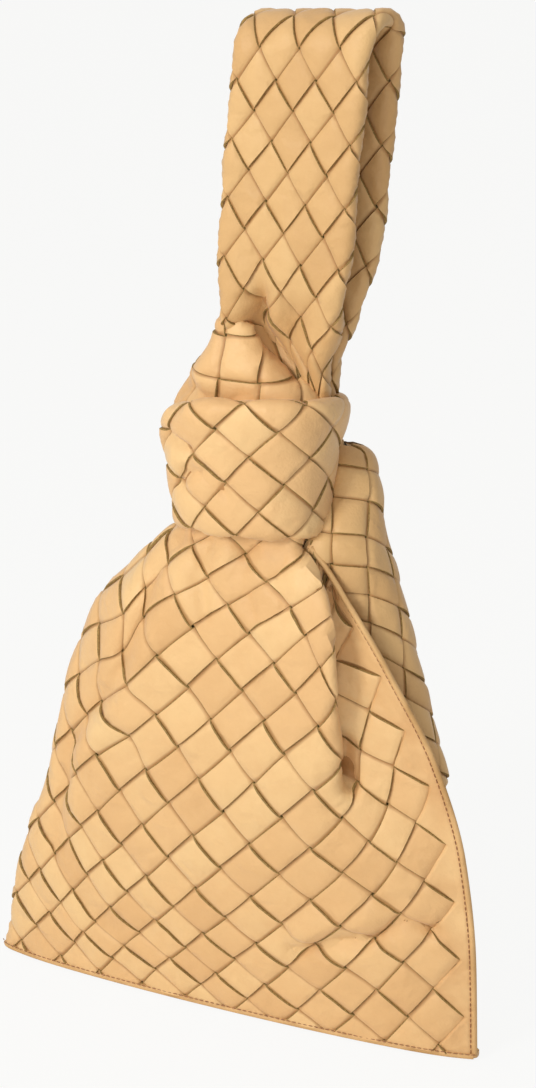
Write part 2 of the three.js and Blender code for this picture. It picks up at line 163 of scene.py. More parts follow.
def monotone(x, y, at):
    """Smooth values through rows of a table, without overshoot."""
    x, y = np.asarray(x, float), np.asarray(y, float)
    shape = (-1,) + (1,) * (y.ndim - 1)
    slope = np.diff(y, axis=0) / np.diff(x).reshape(shape)
    total = slope[1:] + slope[:-1]
    product = slope[1:] * slope[:-1]
    tangent = np.zeros_like(y)
    tangent[1:-1] = np.where(product > 0, 2 * product / np.where(total == 0, 1, total), 0)
    tangent[0], tangent[-1] = slope[0], slope[-1]
    at = np.clip(np.asarray(at, float), x[0], x[-1])
    k = np.clip(np.searchsorted(x, at, side="right") - 1, 0, len(x) - 2)
    h = x[k + 1] - x[k]
    t = ((at - x[k]) / h).reshape(shape)
    h = h.reshape(shape)
    return (
        (2 * t**3 - 3 * t**2 + 1) * y[k]
        + (t**3 - 2 * t**2 + t) * h * tangent[k]
        + (3 * t**2 - 2 * t**3) * y[k + 1]
        + (t**3 - t**2) * h * tangent[k + 1]
    )


def smooth_line(points, count):
    """Points on a natural cubic spline through points, spread by their distance."""
    points = np.asarray(points, float)
    gap = np.linalg.norm(np.diff(points, axis=0), axis=1) ** 0.7
    x = np.concatenate([[0], np.cumsum(gap)])
    n, h = len(x), gap
    matrix, right = np.zeros((n, n)), np.zeros_like(points)
    matrix[0, 0] = matrix[-1, -1] = 1
    for k in range(1, n - 1):
        matrix[k, k - 1 : k + 2] = h[k - 1], 2 * (h[k - 1] + h[k]), h[k]
        right[k] = 6 * ((points[k + 1] - points[k]) / h[k] - (points[k] - points[k - 1]) / h[k - 1])
    bend = np.linalg.solve(matrix, right)
    at = np.linspace(0, x[-1], count)
    k = np.clip(np.searchsorted(x, at) - 1, 0, n - 2)
    a, b, w = (x[k + 1] - at)[:, None], (at - x[k])[:, None], h[k][:, None]
    return (
        (bend[k] * a**3 + bend[k + 1] * b**3) / (6 * w)
        + (points[k] / w - bend[k] * w / 6) * a
        + (points[k + 1] / w - bend[k + 1] * w / 6) * b
    )


def smoothstep(value, low, high):
    t = np.clip((value - low) / (high - low), 0, 1)
    return t * t * (3 - 2 * t)


def unit(vectors):
    """Vectors brought to length 1. A zero vector stays zero."""
    return vectors / np.maximum(np.linalg.norm(vectors, axis=-1, keepdims=True), 1e-9)


class Chart:
    """A surface as positions on an even grid of u across it and v up it, with normals."""

    def __init__(self, points, u_start, u_step, v_start, v_step, outward=1.0, closed=False):
        self.points = points
        self.origin = (u_start, v_start)
        self.step = (u_step, v_step)
        self.closed = closed
        self.outward = outward
        across = np.gradient(points, axis=1)
        if closed:
            wrapped = np.concatenate([points[:, -3:-1], points, points[:, 1:3]], 1)
            across = np.gradient(wrapped, axis=1)[:, 2:-2]
        self.normals = outward * unit(np.cross(across, np.gradient(points, axis=0)))

    def at(self, u, v):
        """Positions and normals at places on the surface."""
        rows, columns = self.points.shape[:2]
        fu = (u - self.origin[0]) / self.step[0]
        fu = fu % (columns - 1) if self.closed else np.clip(fu, 0, columns - 1.001)
        fv = np.clip((v - self.origin[1]) / self.step[1], 0, rows - 1.001)
        iu, iv = np.minimum(fu.astype(int), columns - 2), fv.astype(int)
        tu, tv = (fu - iu)[..., None], (fv - iv)[..., None]

        def mixed(grid):
            low = grid[iv, iu] * (1 - tu) + grid[iv, iu + 1] * tu
            high = grid[iv + 1, iu] * (1 - tu) + grid[iv + 1, iu + 1] * tu
            return low * (1 - tv) + high * tv

        return mixed(self.points), unit(mixed(self.normals))


def creased(chart, creases):
    """The chart with soft folds pressed in: a line of u and v, its radius and its depth."""
    rows, columns = chart.points.shape[:2]
    u = chart.origin[0] + np.arange(columns) * chart.step[0]
    v = chart.origin[1] + np.arange(rows) * chart.step[1]
    place = np.stack(np.broadcast_arrays(u[None], v[:, None]), -1)
    push = np.zeros((rows, columns))
    for line, radius, depth in creases:
        near = np.full((rows, columns), 1e9)
        for a, b in zip(np.array(line[:-1], float), np.array(line[1:], float)):
            t = np.clip((place - a) @ (b - a) / ((b - a) @ (b - a)), 0, 1)
            near = np.minimum(near, np.linalg.norm(place - a - t[..., None] * (b - a), axis=2))
        push -= depth * np.exp(-((near / radius) ** 2))
    points = chart.points + chart.normals * push[..., None]
    (u_start, v_start), (u_step, v_step) = chart.origin, chart.step
    return Chart(points, u_start, u_step, v_start, v_step, chart.outward, chart.closed)


def arc_lengths(line):
    """Distance along a line to each of its points."""
    return np.concatenate([[0], np.cumsum(np.linalg.norm(np.diff(line, axis=0), axis=1))])


def on_line(line, arc, at):
    """Points of a line at arc lengths."""
    return np.stack([np.interp(at, arc, column) for column in line.T], 1)


def raised(row, height):
    """Points of a plan with their height added."""
    return np.column_stack([row, np.full(len(row), height)])


def spread_line(line, arc, at):
    """Points of a line at arc lengths, run on straight past its ends."""
    out = on_line(line, arc, at)
    for past, end, inner in ((at < arc[0], 0, 4), (at > arc[-1], -1, -5)):
        slope = (line[end] - line[inner]) / (arc[end] - arc[inner])
        out[past] = line[end] + slope * (at[past] - arc[end])[:, None]
    return out


BACK_PLEAT = 1.6  # depth of the back's soft pleats under the knot

# Pouch sheets as charts. Along the sheet, u is 0 where x is 0 and grows to the right.
SHEET_U = np.arange(-190.0, 200.5, 1.0)
SHEET_V = np.arange(-20.0, 246.5, 1.0)
FRONT_LINE = np.array([FRONT_SECTIONS[height] for height in sorted(FRONT_SECTIONS)], float)


def front_line(z):
    """Plan of the front sheet at a height."""
    rows = monotone(sorted(FRONT_SECTIONS), FRONT_LINE, [np.clip(z, 0, NECK_HEIGHT)])[0]
    return smooth_line(rows, 420)


def back_line(z):
    """Plan of the back sheet at a height."""
    left, right, belly, lip = rows_at(BACK_ROWS, [np.clip(z, 0, NECK_HEIGHT)])[0]
    share = -np.cos(np.linspace(0, np.pi, 420))
    x = (left + right) / 2 + share * (right - left) / 2
    depth = np.maximum(belly * (1 - share**2) ** 0.5, smoothstep(share, 0.2, 1) * lip)
    pleat = smoothstep(z, 120, 235) * BACK_PLEAT * np.sin(share * 11 + 1) * (1 - share**2)
    return np.stack([x, depth + pleat], 1)


def sheet_chart(line_at, outward):
    """A sheet as a chart, and for each height where its fold and its mouth edge lie."""
    grid, fold, edge = [], [], []
    for z in SHEET_V:
        line = line_at(z)
        arc = arc_lengths(line)
        k = np.argmax(line[:, 0] > 0)
        zero = arc[k - 1] - line[k - 1, 0] / (line[k, 0] - line[k - 1, 0]) * (arc[k] - arc[k - 1])
        row = spread_line(line, arc - zero, SHEET_U)
        grid.append(raised(row, z))
        fold.append(-zero)
        edge.append(arc[-1] - zero)
    chart = Chart(np.array(grid), SHEET_U[0], 1.0, SHEET_V[0], 1.0, outward)
    return chart, np.array(fold), np.array(edge)


# Folds of the front sheet: the valley beside the left panel and the ridge right of it, the
# hollow at the foot of the drape, creases lower down on both sides, and pleats under the knot.
FRONT_CREASES = [
    ([(-19, 230), (-30, 217), (-34, 195), (-44, 169), (-52, 155), (-68, 137), (-79, 119), (-81, 100),
      (-86, 66)], 5, 3.2),
    ([(-8, 222), (-18, 205), (-24, 190), (-34, 166), (-43, 148), (-58, 130), (-70, 112),
      (-72, 92)], 6, -1.8),
    ([(73, 152), (70, 140), (68, 133)], 3.4, 6.0),
    ([(70, 139), (69, 134), (67, 129)], 2.6, 8.0),
    ([(38, 42), (62, 52), (75, 56), (87, 66), (101, 64)], 3.8, 4.2),
    ([(40, 53), (60, 62), (74, 66)], 6, -2.6),
    ([(58, 96), (72, 84), (82, 76)], 5, 1.5),
    ([(-70, 40), (-52, 30), (-30, 34)], 6, 1.2),
    ([(-2, 240), (-6, 218), (-2, 200)], 4.5, 2.6),
    ([(17, 240), (15, 222), (22, 206)], 4, 2.4),
    ([(33, 240), (32, 224), (40, 208)], 3.5, 1.8),
    ([(8, 240), (5, 226)], 4, -1.4),
]

FRONT, FRONT_FOLD, FRONT_EDGE = sheet_chart(front_line, 1.0)
FRONT_PLAIN = FRONT
FRONT = creased(FRONT, FRONT_CREASES)
BACK, BACK_FOLD, BACK_EDGE = sheet_chart(back_line, -1.0)


def along_height(values, z):
    """A fold's or an edge's place at heights."""
    return np.interp(z, SHEET_V, values)


class Lattice:
    """Turns strip numbers into places on the sheet: a thin plate through the crossings."""

    def __init__(self, crossings, slack):
        self.knots = np.array(list(crossings), float)
        target = np.array(list(crossings.values()), float)
        n = len(self.knots)
        matrix = np.zeros((n + 3, n + 3))
        matrix[:n, :n] = self.bend(self.knots) + slack * np.eye(n)
        matrix[:n, n] = matrix[n, :n] = 1
        matrix[:n, n + 1 :] = self.knots
        matrix[n + 1 :, :n] = self.knots.T
        right = np.zeros((n + 3, 2))
        right[:n] = target
        self.weights = np.linalg.solve(matrix, right)

    def bend(self, at):
        r2 = ((at[:, None] - self.knots[None]) ** 2).sum(2)
        return 0.5 * r2 * np.log(r2 + 1e-9)

    def at(self, i, j):
        flat = np.stack([np.ravel(i), np.ravel(j)], 1)
        n = len(self.knots)
        out = self.bend(flat) @ self.weights[:n] + self.weights[n] + flat @ self.weights[n + 1 :]
        return out[:, 0].reshape(np.shape(i)), out[:, 1].reshape(np.shape(i))


def pinned(crossings):
    """The crossings with a few far ones added on the back, where the weave runs on evenly."""
    knots = np.array(list(crossings), float)
    target = np.array(list(crossings.values()), float)
    plane = np.linalg.lstsq(np.column_stack([knots, np.ones(len(knots))]), target, rcond=None)[0]
    far = {}
    for i, j in ((-10, -12), (-16, -4), (-6, -20), (-20, -14), (-12, 2), (2, -20)):
        far[(i, j)] = tuple(np.array([i, j, 1.0]) @ plane)
    return {**crossings, **far}


POUCH_LATTICE = Lattice(pinned(CROSSINGS), 0.02)

# The back sheet is the front's weave turned over at the slanted left fold.
FOLD_LOW = np.array([along_height(FRONT_FOLD, 0), 0.0])
FOLD_TOP = np.array([along_height(FRONT_FOLD, 187), 187.0])
FOLD_WAY = (FOLD_TOP - FOLD_LOW) / np.linalg.norm(FOLD_TOP - FOLD_LOW)


def mirrored(u, v):
    """A place of the flat weave mirrored in the slanted fold line."""
    du, dv = u - FOLD_LOW[0], v - FOLD_LOW[1]
    along = du * FOLD_WAY[0] + dv * FOLD_WAY[1]
    return FOLD_LOW[0] + 2 * along * FOLD_WAY[0] - du, FOLD_LOW[1] + 2 * along * FOLD_WAY[1] - dv


def to_back(u, v):
    """Place on the back sheet of a point of the flat weave beyond the fold."""
    bu, bv = mirrored(u, v)
    for _ in range(5):
        height = np.clip(bv, 0, NECK_HEIGHT)
        fold = along_height(FRONT_FOLD, height)
        mu, mv = mirrored(fold, height)
        fade = np.exp(-np.maximum(bu - fold, 0) / 45)
        bu, bv = mirrored(u - (fold - mu) * fade, v - (height - mv) * fade)
    return bu + along_height(BACK_FOLD - FRONT_FOLD, bv), bv


GATHERED = (188, 206)  # between these heights the weave starts to crowd at the mouth edge


def pouch_place(i, j):
    """Position and normal on the pouch, and where that is: side, u, v."""
    u, v = POUCH_LATTICE.at(i, j)
    behind = u < along_height(FRONT_FOLD, v)
    room = along_height(FRONT_EDGE, v) - 1 - u
    gathered = u + room - 2 * np.logaddexp(0, room / 2)
    u = u + (gathered - u) * smoothstep(v, *GATHERED)
    p_front, n_front = FRONT.at(u, v)
    bu, bv = to_back(u, v)
    p_back, n_back = BACK.at(bu, bv)
    pick = behind[..., None]
    where = (behind, np.where(behind, bu, u), np.where(behind, bv, v))
    return np.where(pick, p_back, p_front), np.where(pick, n_back, n_front), where


# Strips
RING = np.array([
    (0.0, 1), (0.022, 1), (0.18, 1), (0.39, 1), (0.61, 1), (0.82, 1), (0.978, 1), (1.0, 1),
    (1.0, -1), (0.5, -1), (0.0, -1),
])
RAW_EDGES = (0, 6, 7, 10)  # sides of the ring that show the raw cut edge


def scatter(*numbers):
    """An even random number from 0 to 1 for a strip or a cell, the same on each run."""
    value = sum(n * s for n, s in zip(numbers, (12.9898, 78.233, 37.719)))
    return np.modf(np.abs(np.sin(value + 4.1) * 43758.5453))[0]


def strip_rings(family, k, first, last, tuck_first, tuck_last, fill, lean):
    """Strip coordinates and heights of one run of a strip: across, along, height, lift, tone."""
    count = int(round((last - first) * CELL_STEPS)) + 1
    s = np.linspace(first, last, count)
    cell = np.floor(np.clip(s, first, last - 1e-6))
    t = s - cell
    over = (k + cell + family) % 2 == 0
    hump = np.where(over, 1 - np.abs(2 * t - 1) ** STRIP_FLATNESS, 0.0)
    height = STRIP_LIFT * (2 * hump - 1)
    drop = STRIP_TUCK * np.maximum(
        (1 - smoothstep(s, first, first + TUCK_LENGTH)) * tuck_first,
        smoothstep(s, last - TUCK_LENGTH, last) * tuck_last,
    )
    tone = scatter(family * 3.0 + 1, k, np.where(over, cell, -1.0))
    lean = lean * STRIP_LEAN * (0.5 + 0.8 * tone) * (1.35 - 0.8 * t) * hump
    sway = STRIP_SWAY * np.sin(2.1 * s + 6.28 * scatter(family, k, 1.0))
    wide = fill + STRIP_UNEVEN * np.sin(1.3 * s + 6.28 * scatter(family, k, 2.0))
    q, side = RING[:, 0], RING[:, 1]
    across = k + 0.5 + (q[None] - 0.5) * wide[:, None] + sway[:, None]
    along = np.repeat(s[:, None], len(q), 1)
    crown = STRIP_CROWN * (1 - (2 * q - 1) ** 2)[None] * (0.35 + 0.65 * hump[:, None])
    rim = np.isin(np.arange(len(q)), (0, 7)) * STRIP_BEVEL
    thick = np.where(side > 0, STRIP_THICK / 2, -STRIP_THICK / 2) - rim
    z = (height - drop)[:, None] + thick[None] + crown + lean[:, None] * (2 * q - 1)[None]
    # lift is how far a strip stands up, low where it dives; the material paints shade from it
    lift = np.repeat(hump[:, None], len(q), 1) * (1 - 0.55 * np.abs(2 * q - 1) ** 8)[None]
    return across, along, z, lift, np.repeat(tone[:, None], len(q), 1)


def strip_faces(rings, start):
    """Quads round one strip, with its end caps, and the material of each face."""
    n = len(RING)
    base = start + np.arange(rings - 1)[:, None] * n + np.arange(n)[None]
    nxt = start + np.arange(rings - 1)[:, None] * n + (np.arange(n)[None] + 1) % n
    quads = np.stack([base, nxt, nxt + n, base + n], 2).reshape(-1, 4)
    kinds = np.tile(np.isin(np.arange(n), RAW_EDGES).astype(int), rings - 1)
    caps = [list(range(start, start + n)), [start + (rings - 1) * n + c for c in range(n)]]
    return [*quads.tolist(), *caps], [*kinds.tolist(), 1, 1]


def dents(p):
    """Soft unevenness of handled leather, in millimetres."""
    x, y, z = p[..., 0], p[..., 1], p[..., 2]
    waves = np.sin(x / 5.3 + z / 9.1)
    spots = np.sin(z / 4.7 - x / 11.3 + 1.7) * np.sin(y / 6.1 + x / 8.9)
    return DENT_DEPTH * (waves + spots)


def weave(name, place, runs, materials, fill=(0.96, 0.975), lean=(1.0, 1.0)):
    """One mesh of woven strips. A run is a family, a strip, its first and last cell, and whether
    each end dives. Fill and lean, one for each family, are how much of a cell a strip fills and
    how far it leans."""
    parts = [(run, strip_rings(*run, fill[run[0]], lean[run[0]])) for run in runs]
    a = np.concatenate([p[0] if run[0] == 0 else p[1] for run, p in parts])
    b = np.concatenate([p[1] if run[0] == 0 else p[0] for run, p in parts])
    height = np.concatenate([p[2] for _, p in parts])
    lift = np.concatenate([p[3] for _, p in parts])
    tone = np.concatenate([p[4] for _, p in parts])
    position, normal = place(a, b)[:2]
    points = (position + normal * (height + dents(position))[..., None]).reshape(-1, 3)
    along = np.concatenate([p[1] for _, p in parts]).ravel()
    across = np.concatenate([p[0] for _, p in parts]).ravel()
    faces, kinds, start = [], [], 0
    for _, part in parts:
        rings = part[0].shape[0]
        f, m = strip_faces(rings, start)
        faces += f
        kinds += m
        start += rings * len(RING)
    values = {"lift": lift.ravel(), "tone": tone.ravel(), "along": along, "across": across}
    return made(name, points, faces, materials, kinds, values)


def placed(name, data):
    """An object with its data, in the scene."""
    piece = bpy.data.objects.new(name, data)
    bpy.context.scene.collection.objects.link(piece)
    return piece


def made(name, points, faces, materials, kinds=None, values=None, sharp=50):
    """A mesh object from millimetre points, with float attributes on its points."""
    mesh = bpy.data.meshes.new(name)
    mesh.from_pydata((np.asarray(points) * MM).tolist(), [], faces)
    for key, value in (values or {}).items():
        attribute = mesh.attributes.new(key, "FLOAT", "POINT")
        attribute.data.foreach_set("value", np.asarray(value, np.float32))
    for material in materials:
        mesh.materials.append(material)
    if kinds is not None:
        mesh.polygons.foreach_set("material_index", np.asarray(kinds, np.int32))
    mesh.validate()
    piece = placed(name, mesh)
    finished(piece, sharp)
    return piece


def finished(piece, sharp=50):
    """Faces outwards, smooth, with creases kept where the surface turns sharply."""
    form = bmesh.new()
    form.from_mesh(piece.data)
    bmesh.ops.recalc_face_normals(form, faces=form.faces)
    form.to_mesh(piece.data)
    form.free()
    piece.data.polygons.foreach_set("use_smooth", np.ones(len(piece.data.polygons), bool))
    piece.data.set_sharp_from_angle(angle=math.radians(sharp))


def clipped(piece, height, keep_above):
    """Cuts a piece level at a height and closes the cut."""
    form = bmesh.new()
    form.from_mesh(piece.data)
    bmesh.ops.bisect_plane(
        form, geom=[*form.verts, *form.edges, *form.faces], plane_co=(0, 0, height * MM),
        plane_no=(0, 0, 1), clear_outer=not keep_above, clear_inner=keep_above,
    )
    rim = [e for e in form.edges if e.is_boundary]
    bmesh.ops.holes_fill(form, edges=rim, sides=0)
    bmesh.ops.dissolve_degenerate(form, edges=form.edges, dist=1e-6)
    form.to_mesh(piece.data)
    form.free()
    finished(piece)


def runs_of(allowed, low, high, ends=0.5, strips=None):
    """Runs of both families' strips over the cells that allowed(i, j) accepts. A run goes on
    past its first and last cell by ends."""
    found = []
    for family in (0, 1):
        for k in strips or range(low, high):
            cells = np.arange(low, high)
            i, j = (np.full_like(cells, k), cells) if family == 0 else (cells, np.full_like(cells, k))
            good = np.concatenate([[False], allowed(i, j), [False]])
            starts = np.where(good[1:] & ~good[:-1])[0]
            stops = np.where(~good[1:] & good[:-1])[0]
            for start, stop in zip(starts, stops):
                found.append((family, k, low + start - ends, low + stop + ends, 1.0, 1.0))
    return found


# Colours and materials. A pattern's scale is 1 over the size of its marks in metres.


def linear(hex_colour):
    """An sRGB hex colour as linear RGBA."""
    value = hex_colour.lstrip("#")
    channels = [int(value[i : i + 2], 16) / 255 for i in (0, 2, 4)]
    return (*[c / 12.92 if c <= 0.04045 else ((c + 0.055) / 1.055) ** 2.4 for c in channels], 1.0)


def node(tree, kind, links=None, stops=(), **settings):
    """Adds a node. Settings name its properties or, as in_NAME or in_NUMBER, its inputs. Stops
    are the places and hex colours of a colour ramp."""
    new = tree.nodes.new(kind)
    for key, value in settings.items():
        if key.startswith("in_"):
            name = key[3:]
            new.inputs[int(name) if name.isdigit() else name.replace("_", " ")].default_value = value
        else:
            setattr(new, key, value)
    for key, source in (links or {}).items():
        tree.links.new(source, new.inputs[key])
    if stops:
        elements = new.color_ramp.elements
        while len(elements) < len(stops):
            elements.new(0.5)
        for element, (place, colour) in zip(elements, stops):
            element.position = place
            element.color = linear(colour)
    return new


def new_material(name, **values):
    """A material with its tree and shader. Values are the shader's plain numbers and colours."""
    material = bpy.data.materials.new(name)
    material.use_nodes = True
    tree = material.node_tree
    shader = tree.nodes["Principled BSDF"]
    for key, value in values.items():
        shader.inputs[key.replace("_", " ")].default_value = value
    return material, tree, shader


def wire(tree, shader, links):
    """Links a material's patterns to its shader."""
    for key, source in links.items():
        tree.links.new(source, shader.inputs[key])


GRAIN_DEPTH = 0.0006
HOLLOW_DEPTH = 0.0026


def grain(tree, place, strength):
    """Fine nappa grain: pores 1.1 mm apart, coarser than real ones so that they show, wrinkles of
    about 6 mm, and soft hollows of about 13 mm."""
    pores = node(
        tree, "ShaderNodeTexVoronoi", {"Vector": place}, feature="SMOOTH_F1", in_Scale=1 / 0.0011
    )
    wrinkles = node(
        tree, "ShaderNodeTexNoise", {"Vector": place},
        in_Scale=1 / 0.006, in_Detail=5.0, in_Roughness=0.6,
    )
    both = node(
        tree, "ShaderNodeMath", {0: pores.outputs["Distance"], 2: wrinkles.outputs["Fac"]},
        operation="MULTIPLY_ADD", in_1=0.4,
    )
    hollows = node(
        tree, "ShaderNodeTexNoise", {"Vector": place},
        in_Scale=1 / 0.013, in_Detail=1.5, in_Distortion=0.6,
    )
    soft = node(
        tree, "ShaderNodeBump", {"Height": hollows.outputs["Fac"]},
        in_Strength=0.7, in_Distance=HOLLOW_DEPTH,
    )
    bump = node(
        tree, "ShaderNodeBump", {"Height": both.outputs[0], "Normal": soft.outputs["Normal"]},
        in_Strength=strength, in_Distance=GRAIN_DEPTH,
    )
    return bump.outputs["Normal"], wrinkles.outputs["Fac"]


def woven_nappa(name="woven_nappa", pale="#E2BD85", mid="#DAAF78", warm="#D1A36C"):
    """Aniline nappa strips, cut raw: a soft sheen, each cell a little paler or warmer, and painted
    shade, a darker colour where a strip dives under the next one."""
    material, tree, shader = new_material(
        name, Specular_IOR_Level=0.35, Sheen_Weight=0.12, Sheen_Roughness=0.5
    )
    place = node(tree, "ShaderNodeTexCoord").outputs["Object"]
    bump, wrinkles = grain(tree, place, 0.45)
    tone = node(tree, "ShaderNodeAttribute", attribute_name="tone").outputs["Fac"]
    lift = node(tree, "ShaderNodeAttribute", attribute_name="lift").outputs["Fac"]
    cloud = node(tree, "ShaderNodeTexNoise", {"Vector": place}, in_Scale=1 / 0.045, in_Detail=2.0)
    mottle = node(
        tree, "ShaderNodeTexNoise", {"Vector": place},
        in_Scale=1 / 0.007, in_Detail=4.0, in_Roughness=0.65,
    )
    patches = node(
        tree, "ShaderNodeMix", {2: cloud.outputs["Fac"], 3: mottle.outputs["Fac"]},
        data_type="FLOAT", in_0=0.45,
    )
    blend = node(
        tree, "ShaderNodeMix", {2: tone, 3: patches.outputs[0]}, data_type="FLOAT", in_0=0.6
    )
    colour = node(
        tree, "ShaderNodeValToRGB", {"Fac": blend.outputs[0]}, [(0.2, warm), (0.5, mid), (0.8, pale)]
    )
    # Painted shade: the colour darkens to #AA7B48 where a strip is low, diving under the next one
    dive_shade = node(
        tree, "ShaderNodeMapRange", {"Value": lift}, in_From_Min=0.0, in_From_Max=0.45
    )
    shade = node(
        tree, "ShaderNodeMix", {0: dive_shade.outputs["Result"], 7: colour.outputs["Color"]},
        data_type="RGBA", in_6=linear("#AA7B48"),
    )
    rough = node(tree, "ShaderNodeMapRange", {"Value": wrinkles}, in_To_Min=0.46, in_To_Max=0.62)
    wire(tree, shader, {
        "Base Color": shade.outputs[2], "Roughness": rough.outputs["Result"], "Normal": bump,
    })
    return material


def fibrous(name, fibre_size, stops, strength, depth, **values):
    """Leather without its grain: bare fibres with hardly any gloss. Their marks are about 1 mm
    long so that they show, longer than real ones."""
    material, tree, shader = new_material(name, **values)
    place = node(tree, "ShaderNodeTexCoord").outputs["Object"]
    fibre = node(
        tree, "ShaderNodeTexNoise", {"Vector": place}, in_Scale=1 / fibre_size, in_Detail=4.0
    ).outputs["Fac"]
    colour = node(tree, "ShaderNodeValToRGB", {"Fac": fibre}, stops)
    bump = node(tree, "ShaderNodeBump", {"Height": fibre}, in_Strength=strength, in_Distance=depth)
    wire(tree, shader, {"Base Color": colour.outputs["Color"], "Normal": bump.outputs["Normal"]})
    return material


def plain_nappa(name, pale, mid, warm, strength=0.35):
    """Smooth nappa that isn't woven: facings, foot and rolled edges, with fine wrinkles."""
    material, tree, shader = new_material(name, Specular_IOR_Level=0.35)
    place = node(tree, "ShaderNodeTexCoord").outputs["Object"]
    bump, wrinkles = grain(tree, place, strength)
    cloud = node(tree, "ShaderNodeTexNoise", {"Vector": place}, in_Scale=1 / 0.02, in_Detail=3.0)
    colour = node(
        tree, "ShaderNodeValToRGB", {"Fac": cloud.outputs["Fac"]},
        [(0.3, warm), (0.5, mid), (0.75, pale)],
    )
    rough = node(tree, "ShaderNodeMapRange", {"Value": wrinkles}, in_To_Min=0.48, in_To_Max=0.66)
    wire(tree, shader, {
        "Base Color": colour.outputs["Color"], "Roughness": rough.outputs["Result"], "Normal": bump,
    })
    return material


def thread():
    """Waxed polyester thread, a darker red brown than the leather."""
    material, tree, shader = new_material("waxed_thread", Roughness=0.5)
    place = node(tree, "ShaderNodeTexCoord").outputs["Object"]
    twist = node(tree, "ShaderNodeTexNoise", {"Vector": place}, in_Scale=1 / 0.0006, in_Detail=2.0)
    colour = node(
        tree, "ShaderNodeValToRGB", {"Fac": twist.outputs["Fac"]},
        [(0.3, "#7A4A2A"), (0.7, "#A06A3F")],
    )
    wire(tree, shader, {"Base Color": colour.outputs["Color"]})
    return material


WOVEN = woven_nappa()
# A darker copy of the woven nappa, as painted shade: for the handle, which is lit less than the
# pouch, and for the strap's root in the shadow of the knot
SHADED_NAPPA = woven_nappa("woven_nappa_shaded", "#D6AF77", "#CDA36C", "#C39862")
# The cut side of a strip, unsealed and darker than its face
RAW = fibrous(
    "raw_cut_edge", 0.0009, [(0.3, "#755B30"), (0.55, "#91743E"), (0.8, "#AD8D54")], 0.5, 0.0003,
    Roughness=0.85,
)
FACING = plain_nappa("facing_nappa", "#E0B881", "#D8AD77", "#CD9F6A")
BINDING = plain_nappa("binding_nappa", "#D6AD76", "#CAA06A", "#B98E58", 0.25)
# The short nap of suede has a soft bright rim. Its colour is darker than the suede's own, as
# painted shade, so that the inside reads as a shadowed hole where it shows at the mouth
SUEDE = fibrous(
    "suede_lining", 0.0012, [(0.3, "#6E4B2B"), (0.7, "#93693F")], 0.6, 0.0004,
    Roughness=0.95, Sheen_Weight=0.3,
)
THREAD = thread()

# Pouch weave

MOUTH_INSET = 7.0  # the back's woven cells end this far inside the mouth edge
BORDER_SUM = 7  # the front's cells at the mouth have strip numbers that add up to this
ROOT_COVER = 118  # above this height the back sheet runs in under the root of the strap
ROOT_REACH = 4  # and its cells run this far past the edge
CELL_INSET = 3  # a front cell's middle lies at least this far inside the mouth edge
CORNER_REACH = 32  # and its upper corner at most this far outside
CELLS_BELOW = 14  # cells go on this far under the foot and over the neck, and are cut off later
CELLS_ABOVE = 12


def pouch_cells(i, j):
    """Whether a cell of the pouch weave is drawn. The front's end along a zigzag beside its
    facing, the back's at its facing and, higher up, under the root of the strap."""
    behind, u, v = pouch_place(i + 0.5, j + 0.5)[2]
    far_u, far_v = pouch_place(np.where(behind, i, i + 1), np.where(behind, j, j + 1))[2][1:]
    edge = np.where(far_v < ROOT_COVER, MOUTH_INSET, -ROOT_REACH)
    on_back = far_u <= along_height(BACK_EDGE, far_v) - edge
    top_u, top_v = POUCH_LATTICE.at(i * 1.0, j + 1.0)
    inside = top_u < along_height(FRONT_EDGE, top_v) + CORNER_REACH
    on_front = (i + j <= BORDER_SUM) & (u < along_height(FRONT_EDGE, v) - CELL_INSET) & inside
    return np.where(behind, on_back, on_front) & (v > -CELLS_BELOW) & (v < CLIP_HIGH + CELLS_ABOVE)


def front_border():
    """The zigzag line along which the front's woven cells end, as heights and places."""
    steps = [(a, BORDER_SUM + 2 - a - b) for a in range(-1, 14) for b in (0, 1)]
    line = np.array([POUCH_LATTICE.at(float(i), float(j)) for i, j in steps])
    return line[::-1, 1], line[::-1, 0]


def split_at_fold(runs):
    """Splits the runs of the pouch into the front's and the back's, at the left fold."""
    front, back = [], []
    for family, k, first, last, tuck_first, tuck_last in runs:
        count = int(round((last - first) * CELL_STEPS))
        s = first + np.arange(count + 1) / CELL_STEPS
        i, j = (np.full(len(s), k + 0.5), s) if family == 0 else (s, np.full(len(s), k + 0.5))
        behind = pouch_place(i, j)[2][0]
        cuts = np.where(behind[1:] != behind[:-1])[0] + 1
        bounds = [0, *cuts.tolist(), count]
        for a, b in zip(bounds[:-1], bounds[1:]):
            if b - a < 3:
                continue
            side = back if behind[(a + b) // 2] else front
            tucks = (tuck_first if a == 0 else 0.0, tuck_last if b == count else 0.0)
            side.append((family, k, s[a], s[b], *tucks))
    return front, back


def pouch_weave():
    """The woven front and back sheets, cut level at the foot and under the knot."""
    front_runs, back_runs = split_at_fold(runs_of(pouch_cells, -26, 20, 0.06))
    pieces = []
    for name, runs, node_name in (
        ("woven_front", front_runs, "front_panel"), ("woven_back", back_runs, "back_panel"),
    ):
        piece = weave(name, pouch_place, runs, [WOVEN, RAW])
        clipped(piece, CLIP_LOW, True)
        clipped(piece, CLIP_HIGH, False)
        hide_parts(node_name)
        pieces.append(piece)
    return pieces


